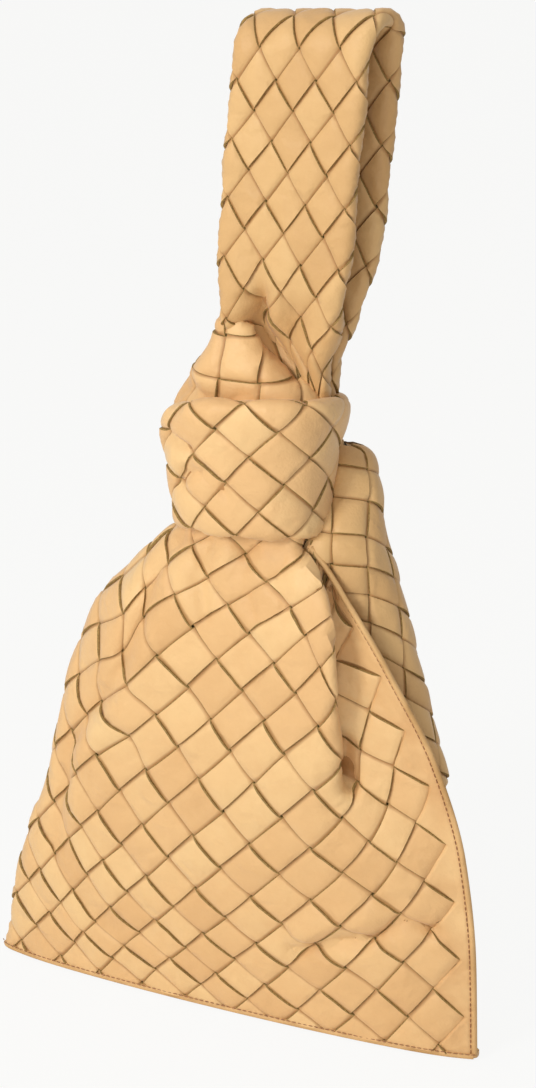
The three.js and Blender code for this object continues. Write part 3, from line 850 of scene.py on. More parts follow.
def slab(name, outer, inner, materials):
    """A closed sheet between two grids of points of the same shape."""
    rows, columns = outer.shape[:2]
    points = np.concatenate([outer.reshape(-1, 3), inner.reshape(-1, 3)])
    index = np.arange(rows * columns).reshape(rows, columns)
    lower = index + rows * columns
    faces = []
    for grid, flip in ((index, False), (lower, True)):
        quad = np.stack([grid[:-1, :-1], grid[:-1, 1:], grid[1:, 1:], grid[1:, :-1]], 2).reshape(-1, 4)
        faces += (quad[:, ::-1] if flip else quad).tolist()
    rim = np.concatenate([index[0, :], index[1:, -1], index[-1, -2::-1], index[-2:0:-1, 0]])
    under = rim + rows * columns
    turn = np.roll(rim, -1), np.roll(under, -1)
    faces += np.stack([rim, under, turn[1], turn[0]], 1).tolist()
    return made(name, points, faces, materials, sharp=60)


# Facings and rolled edges of the mouth
FACING_TOP = 0.5  # its face above the middle of the weave
FACING_SHORT = 0.5  # it ends this far inside the mouth edge
FACING_LEAST = 5  # and is at least this wide
FACING_COLUMNS = 49
FACING_DIVE = 1.0  # how far its inner edge dives under the weave
FACING_DENTS, FACING_RIPPLE = 0.3, 0.06
FACING_UNDER = 1.4  # how far the front facing runs in under the weave's zigzag edge
BACK_FACING = 26  # width of the back facing with what lies under the weave
ROLL_INSET, ROLL_SINK, ROLL_LOW = 0.6, 0.1, 1.8
STITCH_INSET = 1.7  # from the facing's edge to its line of stitches
GROOVE_DEPTH, GROOVE_WIDTH = 0.4, 0.8  # pulled in by the stitches
STITCH_PITCH, STITCH_LENGTH, STITCH_THICK = 2.7, 2.25, 0.5
STITCH_LIFT = 0.45
FOOT_STITCH_LIFT, FOOT_STITCH_LEVEL = 1.75, 3.2
FRONT_MOUTH_TOP = 236
BACK_MOUTH_TOP = 122


def sheet_band(name, chart, edge, inner, low, high, materials):
    """Plain leather along the mouth edge, from the places inner(v) out to the edge."""
    v = np.arange(low, high + 0.1, 1.0)
    share = np.linspace(0, 1, FACING_COLUMNS)
    stop = along_height(edge, v) - FACING_SHORT
    start = np.minimum(inner(v), stop - FACING_LEAST)
    u = start[:, None] + (stop - start)[:, None] * share[None]
    grid_v = np.repeat(v[:, None], len(share), 1)
    position, normal = chart.at(u, grid_v)
    sunk = FACING_TOP - FACING_DIVE * (1 - smoothstep(u - start[:, None], 0.4, 2.6))
    sunk += FACING_DENTS * dents(position) + FACING_RIPPLE * np.sin(u * 0.9 + grid_v * 0.35)
    sunk -= GROOVE_DEPTH * np.exp(-(((stop[:, None] - u - STITCH_INSET) / GROOVE_WIDTH) ** 2))
    top = position + normal * sunk[..., None]
    return slab(name, top, top - normal * PLAIN_THICK, materials)


def ringed(name, rings, materials, sharp=50):
    """A closed mesh through rings of points, with a face over each end."""
    rows, columns = rings.shape[:2]
    index = np.arange(rows * columns).reshape(rows, columns)
    around = np.roll(index, -1, 1)
    faces = np.stack([index[:-1], around[:-1], around[1:], index[1:]], 2).reshape(-1, 4).tolist()
    faces += [index[0].tolist(), index[-1].tolist()]
    return made(name, rings.reshape(-1, 3), faces, materials, sharp=sharp)


def tube(name, centre, radius, materials, sides=14):
    """A round cord along a line of points, closed at both ends."""
    centre = np.asarray(centre, float)
    radius = np.broadcast_to(np.asarray(radius, float), len(centre))
    along = unit(np.gradient(centre, axis=0))
    side = unit(np.cross(along, [0.3, -1.0, 0.2]))
    up = np.cross(side, along)
    angle = np.linspace(0, 2 * np.pi, sides, endpoint=False)
    ring = np.cos(angle)[None, :, None] * side[:, None] + np.sin(angle)[None, :, None] * up[:, None]
    return ringed(name, centre[:, None] + ring * radius[:, None, None], materials, 60)


def mouth_line(chart, edge, inset, low, high, lift, step=2.0):
    """A line along the mouth edge of a sheet, set in from it and lifted."""
    v = np.arange(low, high + 0.1, step)
    position, normal = chart.at(along_height(edge, v) - inset, v)
    return position + normal * lift


def mouth():
    """Plain facings with their rolled edges, front and back."""
    border_v, border_u = front_border()
    front = sheet_band(
        "front_facing", FRONT, FRONT_EDGE,
        lambda v: np.interp(v, border_v, border_u) - FACING_UNDER,
        CLIP_LOW, FRONT_MOUTH_TOP, [FACING],
    )
    back = sheet_band(
        "back_facing", BACK, BACK_EDGE, lambda v: along_height(BACK_EDGE, v) - BACK_FACING,
        CLIP_LOW, BACK_MOUTH_TOP, [FACING],
    )
    rolls = []
    for side, chart, edge, top in (
        ("front", FRONT, FRONT_EDGE, FRONT_MOUTH_TOP), ("back", BACK, BACK_EDGE, BACK_MOUTH_TOP),
    ):
        line = mouth_line(chart, edge, ROLL_INSET, ROLL_LOW, top, -ROLL_SINK)
        rolls.append(tube(f"{side}_rolled_edge", line, EDGE_RADIUS, [BINDING]))
    for piece, cad, slot in (
        (front, "front_mouth_facing", "plain_nappa"), (back, "back_mouth_facing", "plain_nappa"),
        (rolls[0], "front_mouth_binding", "edge_nappa"),
        (rolls[1], "back_mouth_binding", "edge_nappa"),
    ):
        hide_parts(cad)
    return front, back, *rolls


def stitch_tree():
    """Geometry Nodes: short stitches of thread laid end to end along the lines of a mesh."""
    tree = bpy.data.node_groups.new("stitches", "GeometryNodeTree")
    tree.interface.new_socket("Lines", in_out="INPUT", socket_type="NodeSocketGeometry")
    for name in ("Pitch", "Length", "Thickness"):
        tree.interface.new_socket(name, in_out="INPUT", socket_type="NodeSocketFloat")
    tree.interface.new_socket("Seed", in_out="INPUT", socket_type="NodeSocketInt")
    tree.interface.new_socket("Stitches", in_out="OUTPUT", socket_type="NodeSocketGeometry")
    given = node(tree, "NodeGroupInput").outputs
    curve = node(tree, "GeometryNodeMeshToCurve", {"Mesh": given["Lines"]})
    points = node(
        tree, "GeometryNodeCurveToPoints",
        {"Curve": curve.outputs["Curve"], "Length": given["Pitch"]}, mode="LENGTH",
    )
    bead = node(tree, "GeometryNodeMeshUVSphere", in_Segments=8, in_Rings=6, in_Radius=0.5)
    thick = given["Thickness"]
    size = node(tree, "ShaderNodeCombineXYZ", {"X": thick, "Y": thick, "Z": given["Length"]})
    uneven = node(
        tree, "FunctionNodeRandomValue", {"Seed": given["Seed"]}, data_type="FLOAT_VECTOR",
        in_Min=(0.85, 0.85, 0.88), in_Max=(1.15, 1.15, 1.1),
    )
    scale = node(
        tree, "ShaderNodeVectorMath", {0: size.outputs[0], 1: uneven.outputs[0]},
        operation="MULTIPLY",
    )
    laid = node(
        tree, "GeometryNodeInstanceOnPoints",
        {
            "Points": points.outputs["Points"], "Instance": bead.outputs["Mesh"],
            "Rotation": points.outputs["Rotation"], "Scale": scale.outputs[0],
        },
    )
    whole = node(tree, "GeometryNodeRealizeInstances", {"Geometry": laid.outputs[0]})
    smooth = node(tree, "GeometryNodeSetShadeSmooth", {"Geometry": whole.outputs[0]})
    dressed = node(tree, "GeometryNodeSetMaterial", {"Geometry": smooth.outputs[0]}, in_Material=THREAD)
    node(tree, "NodeGroupOutput", {"Stitches": dressed.outputs[0]})
    return tree


def stitches(name, lines):
    """Stitches along lines of points, as one plain mesh."""
    points = np.concatenate(lines) * MM
    edges, start = [], 0
    for line in lines:
        edges += [(start + k, start + k + 1) for k in range(len(line) - 1)]
        start += len(line)
    mesh = bpy.data.meshes.new(name + "_line")
    mesh.from_pydata(points.tolist(), edges, [])
    guide = placed(name + "_line", mesh)
    modifier = guide.modifiers.new("stitches", "NODES")
    modifier.node_group = stitch_tree()
    sizes = {
        "Pitch": STITCH_PITCH * MM, "Length": STITCH_LENGTH * MM, "Thickness": STITCH_THICK * MM,
        "Seed": 7,
    }
    for item in modifier.node_group.interface.items_tree:
        if item.in_out == "INPUT" and item.name in sizes:
            modifier[item.identifier] = sizes[item.name]
    seen = bpy.context.evaluated_depsgraph_get()
    made_mesh = bpy.data.meshes.new_from_object(guide.evaluated_get(seen), depsgraph=seen)
    bpy.data.objects.remove(guide)
    return placed(name, made_mesh)


# Root of the strap

ROOT_V = np.arange(116.0, 273.5, 1.0)


def root_chart():
    """The root's outside: u runs round it, v is the height."""
    grid, half = [], []
    u = np.arange(-20.0, 260.5, 1.0)
    for z in ROOT_V:
        x, y, across, deep = rows_at(ROOT_ROWS, [z])[0]
        angle = np.linspace(-np.pi, np.pi, 240)
        line = np.stack([x + across * np.cos(angle), y + deep * np.sin(angle)], 1)
        arc = arc_lengths(line)
        half.append(arc[-1] / 2)
        start = x + across
        row = on_line(line, arc - arc[-1] / 2 + start, u)
        grid.append(raised(row, z))
    return Chart(np.array(grid), u[0], 1.0, ROOT_V[0], 1.0), np.array(half)


ROOT, ROOT_HALF = root_chart()


ROOT_MIDDLE, ROOT_PITCH, ROOT_DRIFT = 35, 16, 1.1
ROOT_TOP, ROOT_RISE, ROOT_SLANT = 278, 12.2, 11


def root_uv(i, j):
    """Strips 16 mm apart run up the root. The others lie 12 mm apart as the strap is gathered,
    level at its left and slanting down at its right."""
    slant = ROOT_SLANT * np.logaddexp(0, 3 * (i - 1.0)) / 3
    return ROOT_MIDDLE + ROOT_PITCH * i - ROOT_DRIFT * j, ROOT_TOP - slant + ROOT_RISE * j


def root_place(i, j):
    u, v = root_uv(i, j)
    return ROOT.at(u, v)


def root_cells(i, j):
    u, v = root_uv(i + 0.5, j + 0.5)
    row = rows_at(ROOT_ROWS, np.clip(v, 118, 272))
    start = row[:, 0] + row[:, 2]
    half = np.interp(v, ROOT_V, ROOT_HALF)
    return (v > 110) & (v < 276) & (np.abs(u - start) < half + 8)


def strap_root():
    runs = runs_of(root_cells, -26, 16)
    # The root takes the darker copy of the nappa, painted shade for the knot's shadow on it
    piece = weave("woven_strap_root", root_place, runs, [SHADED_NAPPA, RAW], lean=(1.0, -1.0))
    clipped(piece, 117.5, True)
    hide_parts("back_strap_root")
    return piece


# Knot

WRAP_LINES = 8  # strips each way met on one turn round the knot
WRAP_COLUMNS = 240
WRAP_ROWS = 140
WRAP_MEAN = (34, 66)  # mean half width and height, which set how far its section reaches
WRAP_SKEW, WRAP_PITCH = 2.1, 13.6
WRAP_LOW, WRAP_HIGH = 238.6, 295  # mean heights of the band's lower and upper edge
WRAP_OUTSIDE = slice(40, 100)  # rows of its section that face outwards
CROSSING_SHARE = 0.61  # height of a crossing on the knot's front, as a share of the band's
PINCH_DROP, PINCH_AT, PINCH_WIDTH = 10, math.radians(192), 0.38


def rounded_plan(angle):
    """Shares of half width and half depth of the knot's plan."""
    c, s = np.cos(angle), np.sin(angle)
    return np.sign(c) * np.abs(c) ** PLAN_POWER, np.sign(s) * np.abs(s) ** PLAN_POWER


def wrap_top(angle):
    """Height of the band's upper edge round the knot, with the pinch at its left."""
    away = (np.mod(angle, 2 * np.pi) - PINCH_AT) / PINCH_WIDTH
    pinch = PINCH_DROP * np.exp(-(away**2))
    return WRAP_HIGH + 5.5 * np.cos(angle) - 6 * np.sin(angle) - np.cos(2 * angle) - pinch


def wrap_chart():
    """The band round the knot: u runs round it from the middle of its back, v up its outside."""
    angle = np.linspace(0, 2 * np.pi, 1440) + math.pi / 2
    px, py = rounded_plan(angle)
    arc = arc_lengths(np.stack([px * WRAP_HALF[0], py * WRAP_HALF[1]], 1))
    angle = np.interp(np.linspace(0, arc[-1], WRAP_COLUMNS + 1), arc, angle)
    px, py = rounded_plan(angle)
    section = smooth_line(WRAP_SECTION, WRAP_ROWS * 4)
    length = arc_lengths(section * WRAP_MEAN)
    even = np.linspace(0, length[-1], WRAP_ROWS + 1)
    section = on_line(section, length, even)
    low, high = WRAP_LOW + 1.9 * np.cos(angle) - 3.5 * np.sin(angle), wrap_top(angle)
    points = np.zeros((WRAP_ROWS + 1, WRAP_COLUMNS + 1, 3))
    for r, (out, up) in enumerate(section):
        middle = np.interp(up, *np.array(WRAP_MIDDLE).T)
        points[r, :, 0] = middle + WRAP_HALF[0] * out * px
        points[r, :, 1] = WRAP_Y + WRAP_HALF[1] * out * py
        points[r, :, 2] = low + (high - low) * up
    level = np.interp(CROSSING_SHARE, section[WRAP_OUTSIDE, 1], even[WRAP_OUTSIDE])
    return Chart(points, 0.0, arc[-1] / WRAP_COLUMNS, 0.0, even[1], 1.0, True), arc[-1], level, even[-1]


# The pinch at the knot's top left, a step with a hollow under it, and two folds at its foot
WRAP_CREASES = [
    ([(74, 74), (80, 68), (88, 64)], 3.5, 2.8),
    ([(81, 44), (87, 51), (96, 51), (105, 43)], 3.4, 3.0),
    ([(79, 57), (88, 61), (98, 60), (107, 53)], 4, -1.3),
    ([(92, 8), (88, 22)], 5, 1.0),
    ([(140, 6), (136, 26)], 5, 0.9),
]

WRAP, WRAP_AROUND, WRAP_LEVEL, WRAP_LENGTH = wrap_chart()
WRAP = creased(WRAP, WRAP_CREASES)
WRAP_NODE = (WRAP_AROUND / 2 + 11.5, WRAP_LEVEL)  # a crossing on the front of the knot


def wrap_uv(i, j):
    """Strips cross the knot's front at unlike slants, and close after eight each way."""
    half = WRAP_AROUND / WRAP_LINES / 2
    u = WRAP_NODE[0] + half * (i + j - 2) + WRAP_SKEW * (i - j)
    return u, WRAP_NODE[1] + WRAP_PITCH * (j - i)


def wrap_place(i, j):
    return WRAP.at(*wrap_uv(i, j))


def wrap_cells(i, j):
    v = wrap_uv(i + 0.5, j + 0.5)[1]
    return (v > -6) & (v < WRAP_LENGTH + 6)


def knot():
    """The woven band round the knot."""
    runs = runs_of(wrap_cells, -20, 28, 0.0, range(WRAP_LINES))
    wrap = weave("woven_knot_wrap", wrap_place, runs, [WOVEN, RAW], (0.982, 0.965), (0.25, 0.7))
    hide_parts("knot_wrap")
    return wrap


# Turn of the strap over the knot

TURN_PITCH = (18.0, 19.5)
TURN_LINE_X = 3.0  # a line between strips runs up the front here
TURN_LEVEL = 307.5  # and one crosses it here
TURN_REACH = 92
TURN_FORWARD = 7.5  # how far its top leans to the front
TIP_SHARE, TIP_DROP = 0.4, 14  # width and depth of the strips' ends inside its top


def turn_chart():
    """The turn's outside: u runs round it from a strip's edge at the front, v up it."""
    rows = np.array(TURN_ROWS, float)
    fine = monotone(rows[:, 0], rows[:, 1:], np.linspace(rows[0, 0], rows[-1, 0], 300))
    z = np.linspace(rows[0, 0], rows[-1, 0], 300)
    rise = arc_lengths(np.stack([z, fine[:, 2]], 1))
    v = np.arange(0.0, rise[-1], 1.0)
    u = np.arange(-TURN_REACH, TURN_REACH + 0.5, 1.0)
    angle = np.linspace(-1.5 * np.pi, 0.5 * np.pi, 720)
    px, py = rounded_plan(angle)
    grid, ends = [], []
    for at in v:
        level = np.interp(at, rise, z)
        left, right, deep = (np.interp(at, rise, fine[:, c]) for c in range(3))
        forward = 1 + TURN_FORWARD * smoothstep(level, 296, 316)
        line = np.stack([(left + right) / 2 + (right - left) / 2 * px, deep * py - forward], 1)
        arc = arc_lengths(line)
        front = (angle > -math.pi) & (angle < 0)
        zero = np.interp(TURN_LINE_X, line[front, 0], arc[front])
        row = on_line(line, arc - zero, u)
        grid.append(raised(row, level))
        ends.append((-zero, arc[-1] - zero))
    # At the top the strips turn in and run down inside
    tip = grid[-1]
    for drop in range(1, TIP_DROP):
        grid.append(tip.mean(0) + (tip - tip.mean(0)) * TIP_SHARE - [0, 0, drop])
    start = np.interp(TURN_LEVEL, z, rise)
    return Chart(np.array(grid), u[0], 1.0, 0.0, 1.0), start, rise[-1], np.array(ends)


TURN, TURN_START, TURN_LENGTH, TURN_ENDS = turn_chart()
TURN_CREASES = [([(-24, 30), (-16, 33), (-6, 29)], 4, 3.5), ([(-22, 41), (-10, 41)], 4, -1.4)]
TURN = creased(TURN, TURN_CREASES)


def turn_place(i, j):
    return TURN.at(i * TURN_PITCH[0], TURN_START + j * TURN_PITCH[1])


def turn_cells(i, j):
    u, v = (i + 0.5) * TURN_PITCH[0], TURN_START + (j + 0.5) * TURN_PITCH[1]
    left, right = (np.interp(v + 4, np.arange(len(TURN_ENDS)), TURN_ENDS[:, c]) for c in (0, 1))
    return (u > left - 5) & (u < right + 5) & (v > -8) & (v < TURN_LENGTH + 6)


def upper_turn():
    """The strap's turn over the top of the knot."""
    piece = weave("woven_upper_turn", turn_place, runs_of(turn_cells, -8, 9, 0.0), [WOVEN, RAW])
    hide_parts("knot_upper_turn")
    return piece


# Handle

# Path of the band: x, y, z, half width, half thickness, depth of the pleats, and how far its
# left side comes forward to fold over the turn
BAND_PATH = [
    (38.5, 2, 296, 5, 3.0, 0, 0), (36, -1, 307, 8.5, 3.0, 4.0, 1), (30.5, -3, 318, 16, 3.0, 13.0, 4),
    (27, -6, 329, 24, 2.8, 16.0, 9), (28.2, -9.5, 341, 26, 2.5, 10.0, 5), (29, -12, 354, 28, 2.5, 3, 1),
    (30.5, -12, 368, 29, 2.5, 0, 0), (32, -12, 392, 29, 2.5, 0, 0),
    (35, -12, 424, 29, 2.5, 0, 0), (37.2, -12, 447, 29, 2.5, 0, 0),
]
BAND_STEPS = 520
REAR_SHIFT = 4.0  # the rear of the loop hangs this far right of the front
REAR_BASE = 8.5  # and stays this far behind the middle at its foot
BAND_TILT = 0.085  # slope across the band at the top of the loop, higher at its right
TOP_X, TOP_Z, TOP_RADIUS, TOP_LEAN = 37.2, 447, 12, 1.06  # the loop's round top


def band_path():
    """Rows of the band from the front's lower end over the top to the rear's lower end."""
    up = np.array(BAND_PATH, float)
    top = []
    for share in np.linspace(0, 1, 9)[1:-1]:
        angle = math.pi * share
        x = TOP_X + TOP_LEAN * math.sin(angle) + REAR_SHIFT * (1 - math.cos(angle)) / 2
        y, z = -TOP_RADIUS * math.cos(angle), TOP_Z + TOP_RADIUS * math.sin(angle)
        top.append((x, y, z, BAND_WIDTH / 2, BAND_THICK / 2, 0, 0))
    down = up[::-1].copy()
    down[:, 0] += REAR_SHIFT * smoothstep(down[:, 2], 300, 400)
    down[:, 1] = np.maximum(-down[:, 1], REAR_BASE)
    down[-4:, 5] *= 0.3
    down[-4:, 6] = 0
    return smooth_line(np.concatenate([up, top, down]), BAND_STEPS)


def stadium(count):
    """A flat section with round sides: shares of the half width and half thickness. The second
    half of it is the first turned half round."""
    flat, r = BAND_WIDTH - BAND_THICK, BAND_THICK / 2
    s = np.linspace(0, BAND_PERIMETER, count)
    half = flat + math.pi * r
    side = np.where(s < half, 1, -1)
    d = np.where(s < half, s, s - half)
    turn = np.maximum(d - flat, 0) / r
    out = np.stack([np.minimum(d, flat) - flat / 2 + r * np.sin(turn), r * np.cos(turn)], 1)
    return side[:, None] * out / [BAND_WIDTH / 2, r]


def band_chart():
    """The handle's flat tube: u runs round it, v along its path."""
    path = band_path()
    centre = path[:, :3]
    arc = arc_lengths(centre)
    v = np.arange(0.0, arc[-1], 1.0)
    rows = on_line(path, arc, v)
    tangent = unit(np.gradient(rows[:, :3], axis=0))
    section = stadium(245)
    points = np.zeros((len(v), len(section), 3))
    for r, row in enumerate(rows):
        t = tangent[r]
        rise = BAND_TILT * smoothstep(row[2], 349, 453)
        wide = np.array([1.0, 0.0, rise])
        out = unit(np.cross(wide, t))
        q = section[:, 0]
        middle = -0.6 + 0.24 * smoothstep(row[2], 320, 346)
        wide_fold = 0.42 - 0.24 * smoothstep(row[2], 318, 342)
        fold = np.exp(-(((q - middle) / wide_fold) ** 2))
        pleat = -row[5] * (fold - 0.16 * np.cos((q - middle) * 5.0))
        offset = section[:, 1] * row[4] + pleat - row[6] * np.minimum(q + 0.1, 0.3)
        points[r] = row[None, :3] + q[:, None] * row[3] * wide[None] + offset[:, None] * out[None]
    return Chart(points, 0.0, BAND_PERIMETER / 244, 0.0, 1.0, 1.0, True), v[-1]


BAND, BAND_LENGTH = band_chart()
BAND_STRIPS = 7
DIAMOND_AROUND = BAND_PERIMETER / BAND_STRIPS
DIAMOND_ALONG = 25.6
BAND_SHIFT = (9.0, 4.0)


def band_place(i, j):
    around = (i + j) / 2 * DIAMOND_AROUND + BAND_SHIFT[0]
    return BAND.at(around, (i - j) / 2 * DIAMOND_ALONG + BAND_SHIFT[1])


def on_step(cells):
    """The nearest ring of a strip to a distance in cells."""
    return round(cells * CELL_STEPS) / CELL_STEPS


def band_runs():
    """Seven strips each way wind round the band from one end to the other."""
    low = -BAND_SHIFT[1] * 2 / DIAMOND_ALONG
    high = (BAND_LENGTH - BAND_SHIFT[1]) * 2 / DIAMOND_ALONG
    runs = []
    for k in range(BAND_STRIPS):
        runs.append((0, k, on_step(k + 0.5 - high), on_step(k + 0.5 - low), 0.0, 0.0))
    for k in range(BAND_STRIPS):
        runs.append((1, k, on_step(low + k + 0.5), on_step(high + k + 0.5), 0.0, 0.0))
    return runs


def handle():
    """The woven tube of the handle with its pleated foot, in one piece."""
    # The handle takes the darker copy of the nappa, as painted shade
    piece = weave("woven_handle", band_place, band_runs(), [SHADED_NAPPA, RAW], (0.98, 0.965), (0.35, 1.25))
    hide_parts("handle_sleeve", "handle_gather")
    return piece


# Foot and linings

SOLE_HALF_DEPTH = 11.5
SOLE_WIDEN = 1.2  # it is wider by this at its right end
SOLE_ROLL = 0.5  # how far its rim rolls up
SEAM_RADIUS, SEAM_LIFT, SEAM_LEVEL = 1.35, 0.45, 1.7
LINING_GAP, LINING_THICK = 2.6, 0.6
STIFFENER_SHORT = 52  # it ends this far before the handle's sleeve does
STIFFENER_SINK = 1.6
LINING_FOLD, LINING_MOUTH = 5, 6  # a lining ends this far from the fold and the mouth edge
HIDDEN_STEP, HIDDEN_COLUMNS = 4.0, 61  # a coarser grid, for sheets inside
CORE_LOW, CORE_HIGH, CORE_ROWS, CORE_SIDES = 244, 297, 12, 32
CORE_X, CORE_Y, CORE_LEAN = 10, -1.5, 0.06
CORE_RADIUS, CORE_TAPER = 15, 3  # thickest at the middle of its height


def foot():
    """The sole: a plain leaf of leather with a softly rolled rim."""
    x = -FOOT_HALF * np.cos(np.linspace(0, np.pi, 81))
    share = x / FOOT_HALF
    leaf = SOLE_HALF_DEPTH * np.maximum(1 - share**2, 0) ** 0.5
    depth = leaf + SOLE_WIDEN * smoothstep(share, 0.7, 1)
    across = np.linspace(-1, 1, 15)
    y = across[None] * depth[:, None]
    rim = SOLE_ROLL * np.abs(across) ** 6
    low = np.stack([np.repeat(x[:, None], 15, 1), y, np.broadcast_to(rim, y.shape)], 2)
    high = low.copy()
    high[..., 2] = FOOT_THICK
    piece = slab("foot_sole", high, low, [FACING])
    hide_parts("base_panel")
    return piece


def foot_line(chart, edge, fold, lift, z):
    """A line along the lower edge of a sheet, a lift in front of it."""
    u = np.linspace(along_height(fold, 0) + 1.5, along_height(edge, 0) - 1.0, 121)
    position, normal = chart.at(u, np.zeros(len(u)))
    line = position + normal * lift
    line[:, 2] = z
    return line


def foot_seams():
    """Turned seams along the lower edge, front and back."""
    pieces = []
    for side, chart, edge, fold in (
        ("front", FRONT, FRONT_EDGE, FRONT_FOLD), ("back", BACK, BACK_EDGE, BACK_FOLD),
    ):
        line = foot_line(chart, edge, fold, SEAM_LIFT, SEAM_LEVEL)
        piece = tube(f"{side}_foot_seam", line, SEAM_RADIUS, [BINDING])
        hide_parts(f"{side}_base_seam")
        pieces.append(piece)
    return pieces


def lining(name, chart, plain, edge, fold, cad):
    """A thin skin of suede inside a woven sheet."""
    v = np.arange(CLIP_LOW + 1, NECK_HEIGHT - 1, HIDDEN_STEP)
    share = np.linspace(0, 1, HIDDEN_COLUMNS)
    start = along_height(fold, v) + LINING_FOLD
    stop = along_height(edge, v) - LINING_MOUTH
    u = start[:, None] + (stop - start)[:, None] * share[None]
    grid_v = np.repeat(v[:, None], len(share), 1)
    position, normal = chart.at(u, grid_v)[0], plain.at(u, grid_v)[1]
    inner = position - normal * (LINING_GAP + LINING_THICK)
    piece = slab(name, position - normal * LINING_GAP, inner, [SUEDE])
    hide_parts(cad)
    return piece


def interlining():
    """The flat stiffener inside the handle's sleeve."""
    v = np.arange(STIFFENER_SHORT, BAND_LENGTH - STIFFENER_SHORT, HIDDEN_STEP)
    u = np.linspace(0, BAND_PERIMETER, HIDDEN_COLUMNS)[:-1]
    position, normal = BAND.at(u[None] + 0 * v[:, None], v[:, None] + 0 * u[None])
    piece = ringed("handle_stiffener", position - normal * STIFFENER_SINK, [SUEDE])
    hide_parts("handle_interlining")
    return piece


def knot_core():
    """The strap's rolled end inside the knot, out of sight behind its outer turns."""
    level = np.linspace(CORE_LOW, CORE_HIGH, CORE_ROWS)
    x = CORE_X - CORE_LEAN * (level - CORE_LOW)
    line = np.stack([x, np.full(CORE_ROWS, CORE_Y), level], 1)
    radius = CORE_RADIUS - CORE_TAPER * ((level - 270) / 27) ** 2
    piece = tube("knot_rolled_core", line, radius, [SUEDE], CORE_SIDES)
    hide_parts("knot_core")
    return piece


# Stage


AZIMUTH, ELEVATION = math.radians(25), math.radians(22)
CAMERA_DISTANCE = 1.3009
CAMERA_TARGET = (0.0168, 0, 0.2286)


def look(body, way):
    """Turns a camera or a lamp to face a way."""
    body.rotation_mode = "QUATERNION"
    body.rotation_quaternion = way.to_track_quat("-Z", "Y")


def camera():
    """The photograph's view: from the right front, looking a little down."""
    data = bpy.data.cameras.new("camera")
    data.lens, data.sensor_width = 100, 36
    data.clip_start, data.clip_end = 0.05, 20
    eye = placed("camera", data)
    across = math.cos(ELEVATION)
    back = Vector((math.sin(AZIMUTH) * across, -math.cos(AZIMUTH) * across, math.sin(ELEVATION)))
    eye.location = Vector(CAMERA_TARGET) + back * CAMERA_DISTANCE
    look(eye, -back)
    bpy.context.scene.camera = eye


def lamp(name, place, aim, size, watts):
    """A rectangular white lamp that faces its aim."""
    data = bpy.data.lights.new(name, "AREA")
    data.shape, data.size, data.size_y = "RECTANGLE", *size
    data.energy = watts
    body = placed(name, data)
    body.location = place
    look(body, Vector(aim) - Vector(place))


def seen_white(tree, lit, white):
    """Mixes a plain white in where the camera, a gloss or glass looks straight at it."""
    rays = node(tree, "ShaderNodeLightPath").outputs
    seen = rays["Is Camera Ray"]
    for other in ("Is Glossy Ray", "Is Transmission Ray"):
        seen = node(tree, "ShaderNodeMath", {0: seen, 1: rays[other]}, operation="MAXIMUM").outputs[0]
    return node(tree, "ShaderNodeMixShader", {0: seen, 1: lit, 2: white})


ROOM_LIGHT = 0.42
FLOOR_HALF, FLOOR_LEVEL = 6000, -0.4  # in millimetres
FLOOR_LIFT = 0.94  # how much of the floor is plain white, the rest takes the shadow


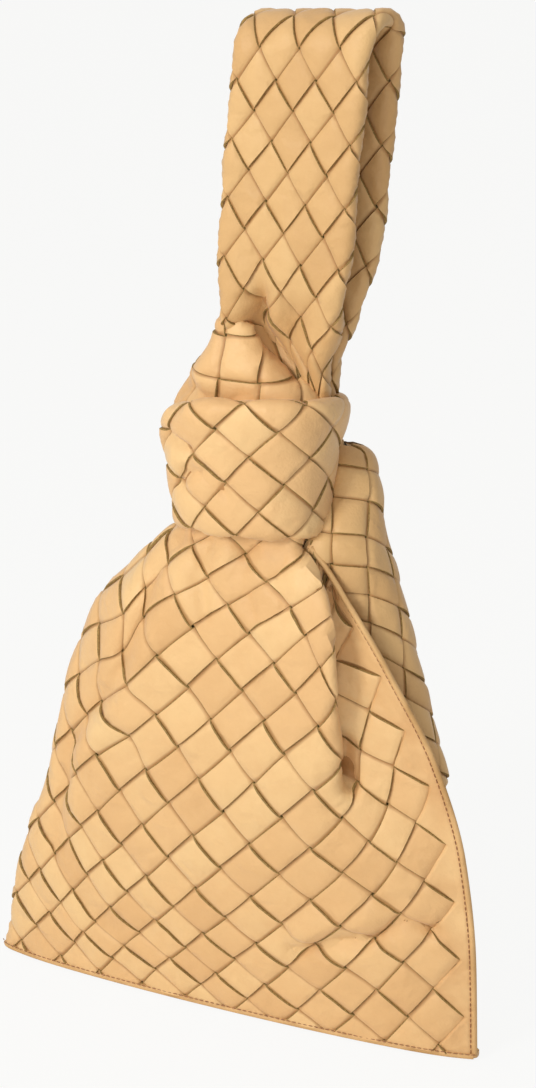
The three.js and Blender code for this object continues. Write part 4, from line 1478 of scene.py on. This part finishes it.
def stage():
    """White room and floor, a key lamp at the left front, a low fill and an overhead."""
    world = bpy.data.worlds.new("studio")
    bpy.context.scene.world = world
    world.use_nodes = True
    tree = world.node_tree
    tree.nodes.clear()
    lit = node(tree, "ShaderNodeBackground", in_Color=linear("#FFFFFF"), in_Strength=ROOM_LIGHT)
    white = node(tree, "ShaderNodeBackground", in_Color=linear("#FFFFFF"), in_Strength=1.0)
    mix = seen_white(tree, lit.outputs[0], white.outputs[0])
    node(tree, "ShaderNodeOutputWorld", {"Surface": mix.outputs[0]})
    material, tree, shader = new_material(
        "white_floor", Base_Color=linear("#F2F0EC"), Roughness=0.9
    )
    glow = node(tree, "ShaderNodeEmission", in_Color=linear("#FBFBFA"), in_Strength=1.0)
    lift = node(
        tree, "ShaderNodeMixShader", {1: shader.outputs[0], 2: glow.outputs[0]}, in_0=FLOOR_LIFT
    )
    mix = seen_white(tree, shader.outputs[0], lift.outputs[0])
    tree.links.new(mix.outputs[0], tree.nodes["Material Output"].inputs["Surface"])
    corners = [
        (x * FLOOR_HALF, y * FLOOR_HALF, FLOOR_LEVEL) for x, y in ((-1, -1), (1, -1), (1, 1), (-1, 1))
    ]
    floor = made("floor", corners, [(0, 1, 2, 3)], [material])
    lamp("key", (-0.42, -1.25, 0.9), (0.0, 0.0, 0.14), (0.4, 0.4), 11.5)
    lamp("fill", (0.3, -1.3, 0.08), (0.0, 0.0, 0.03), (1.1, 0.9), 5.6)
    lamp("overhead", (0.0, -0.4, 1.5), (0.0, 0.0, 0.1), (1.2, 1.2), 5)


bpy.context.scene.view_settings.view_transform = "Standard"
camera()
stage()
woven_front, woven_back = pouch_weave()
front_facing, back_facing, front_roll, back_roll = mouth()
root = strap_root()
wrap = knot()
turn = upper_turn()
loop = handle()
sole = foot()
seams = foot_seams()
front_lining = lining("front_suede_lining", FRONT, FRONT_PLAIN, FRONT_EDGE, FRONT_FOLD, "front_lining")
back_lining = lining("back_suede_lining", BACK, BACK, BACK_EDGE, BACK_FOLD, "back_lining")
stiffener = interlining()
stitch_inset = FACING_SHORT + STITCH_INSET
lip_stitches = stitches(
    "front_lip_stitches", [mouth_line(FRONT, FRONT_EDGE, stitch_inset, 4, 229, STITCH_LIFT)]
)
pouch_stitches = stitches(
    "pouch_stitches",
    [
        mouth_line(BACK, BACK_EDGE, stitch_inset, 4, BACK_MOUTH_TOP - 2, STITCH_LIFT),
        foot_line(FRONT, FRONT_EDGE, FRONT_FOLD, FOOT_STITCH_LIFT, FOOT_STITCH_LEVEL),
        foot_line(BACK, BACK_EDGE, BACK_FOLD, FOOT_STITCH_LIFT, FOOT_STITCH_LEVEL),
    ],
)
core = knot_core()

for piece in (
    woven_back, back_facing, back_roll, root, wrap, turn, core, sole, *seams, back_lining,
    pouch_stitches,
):
    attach(piece, "pouch")
for piece in (woven_front, front_facing, front_roll, front_lining, lip_stitches):
    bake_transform(piece)
for piece in (loop, stiffener):
    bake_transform(piece)
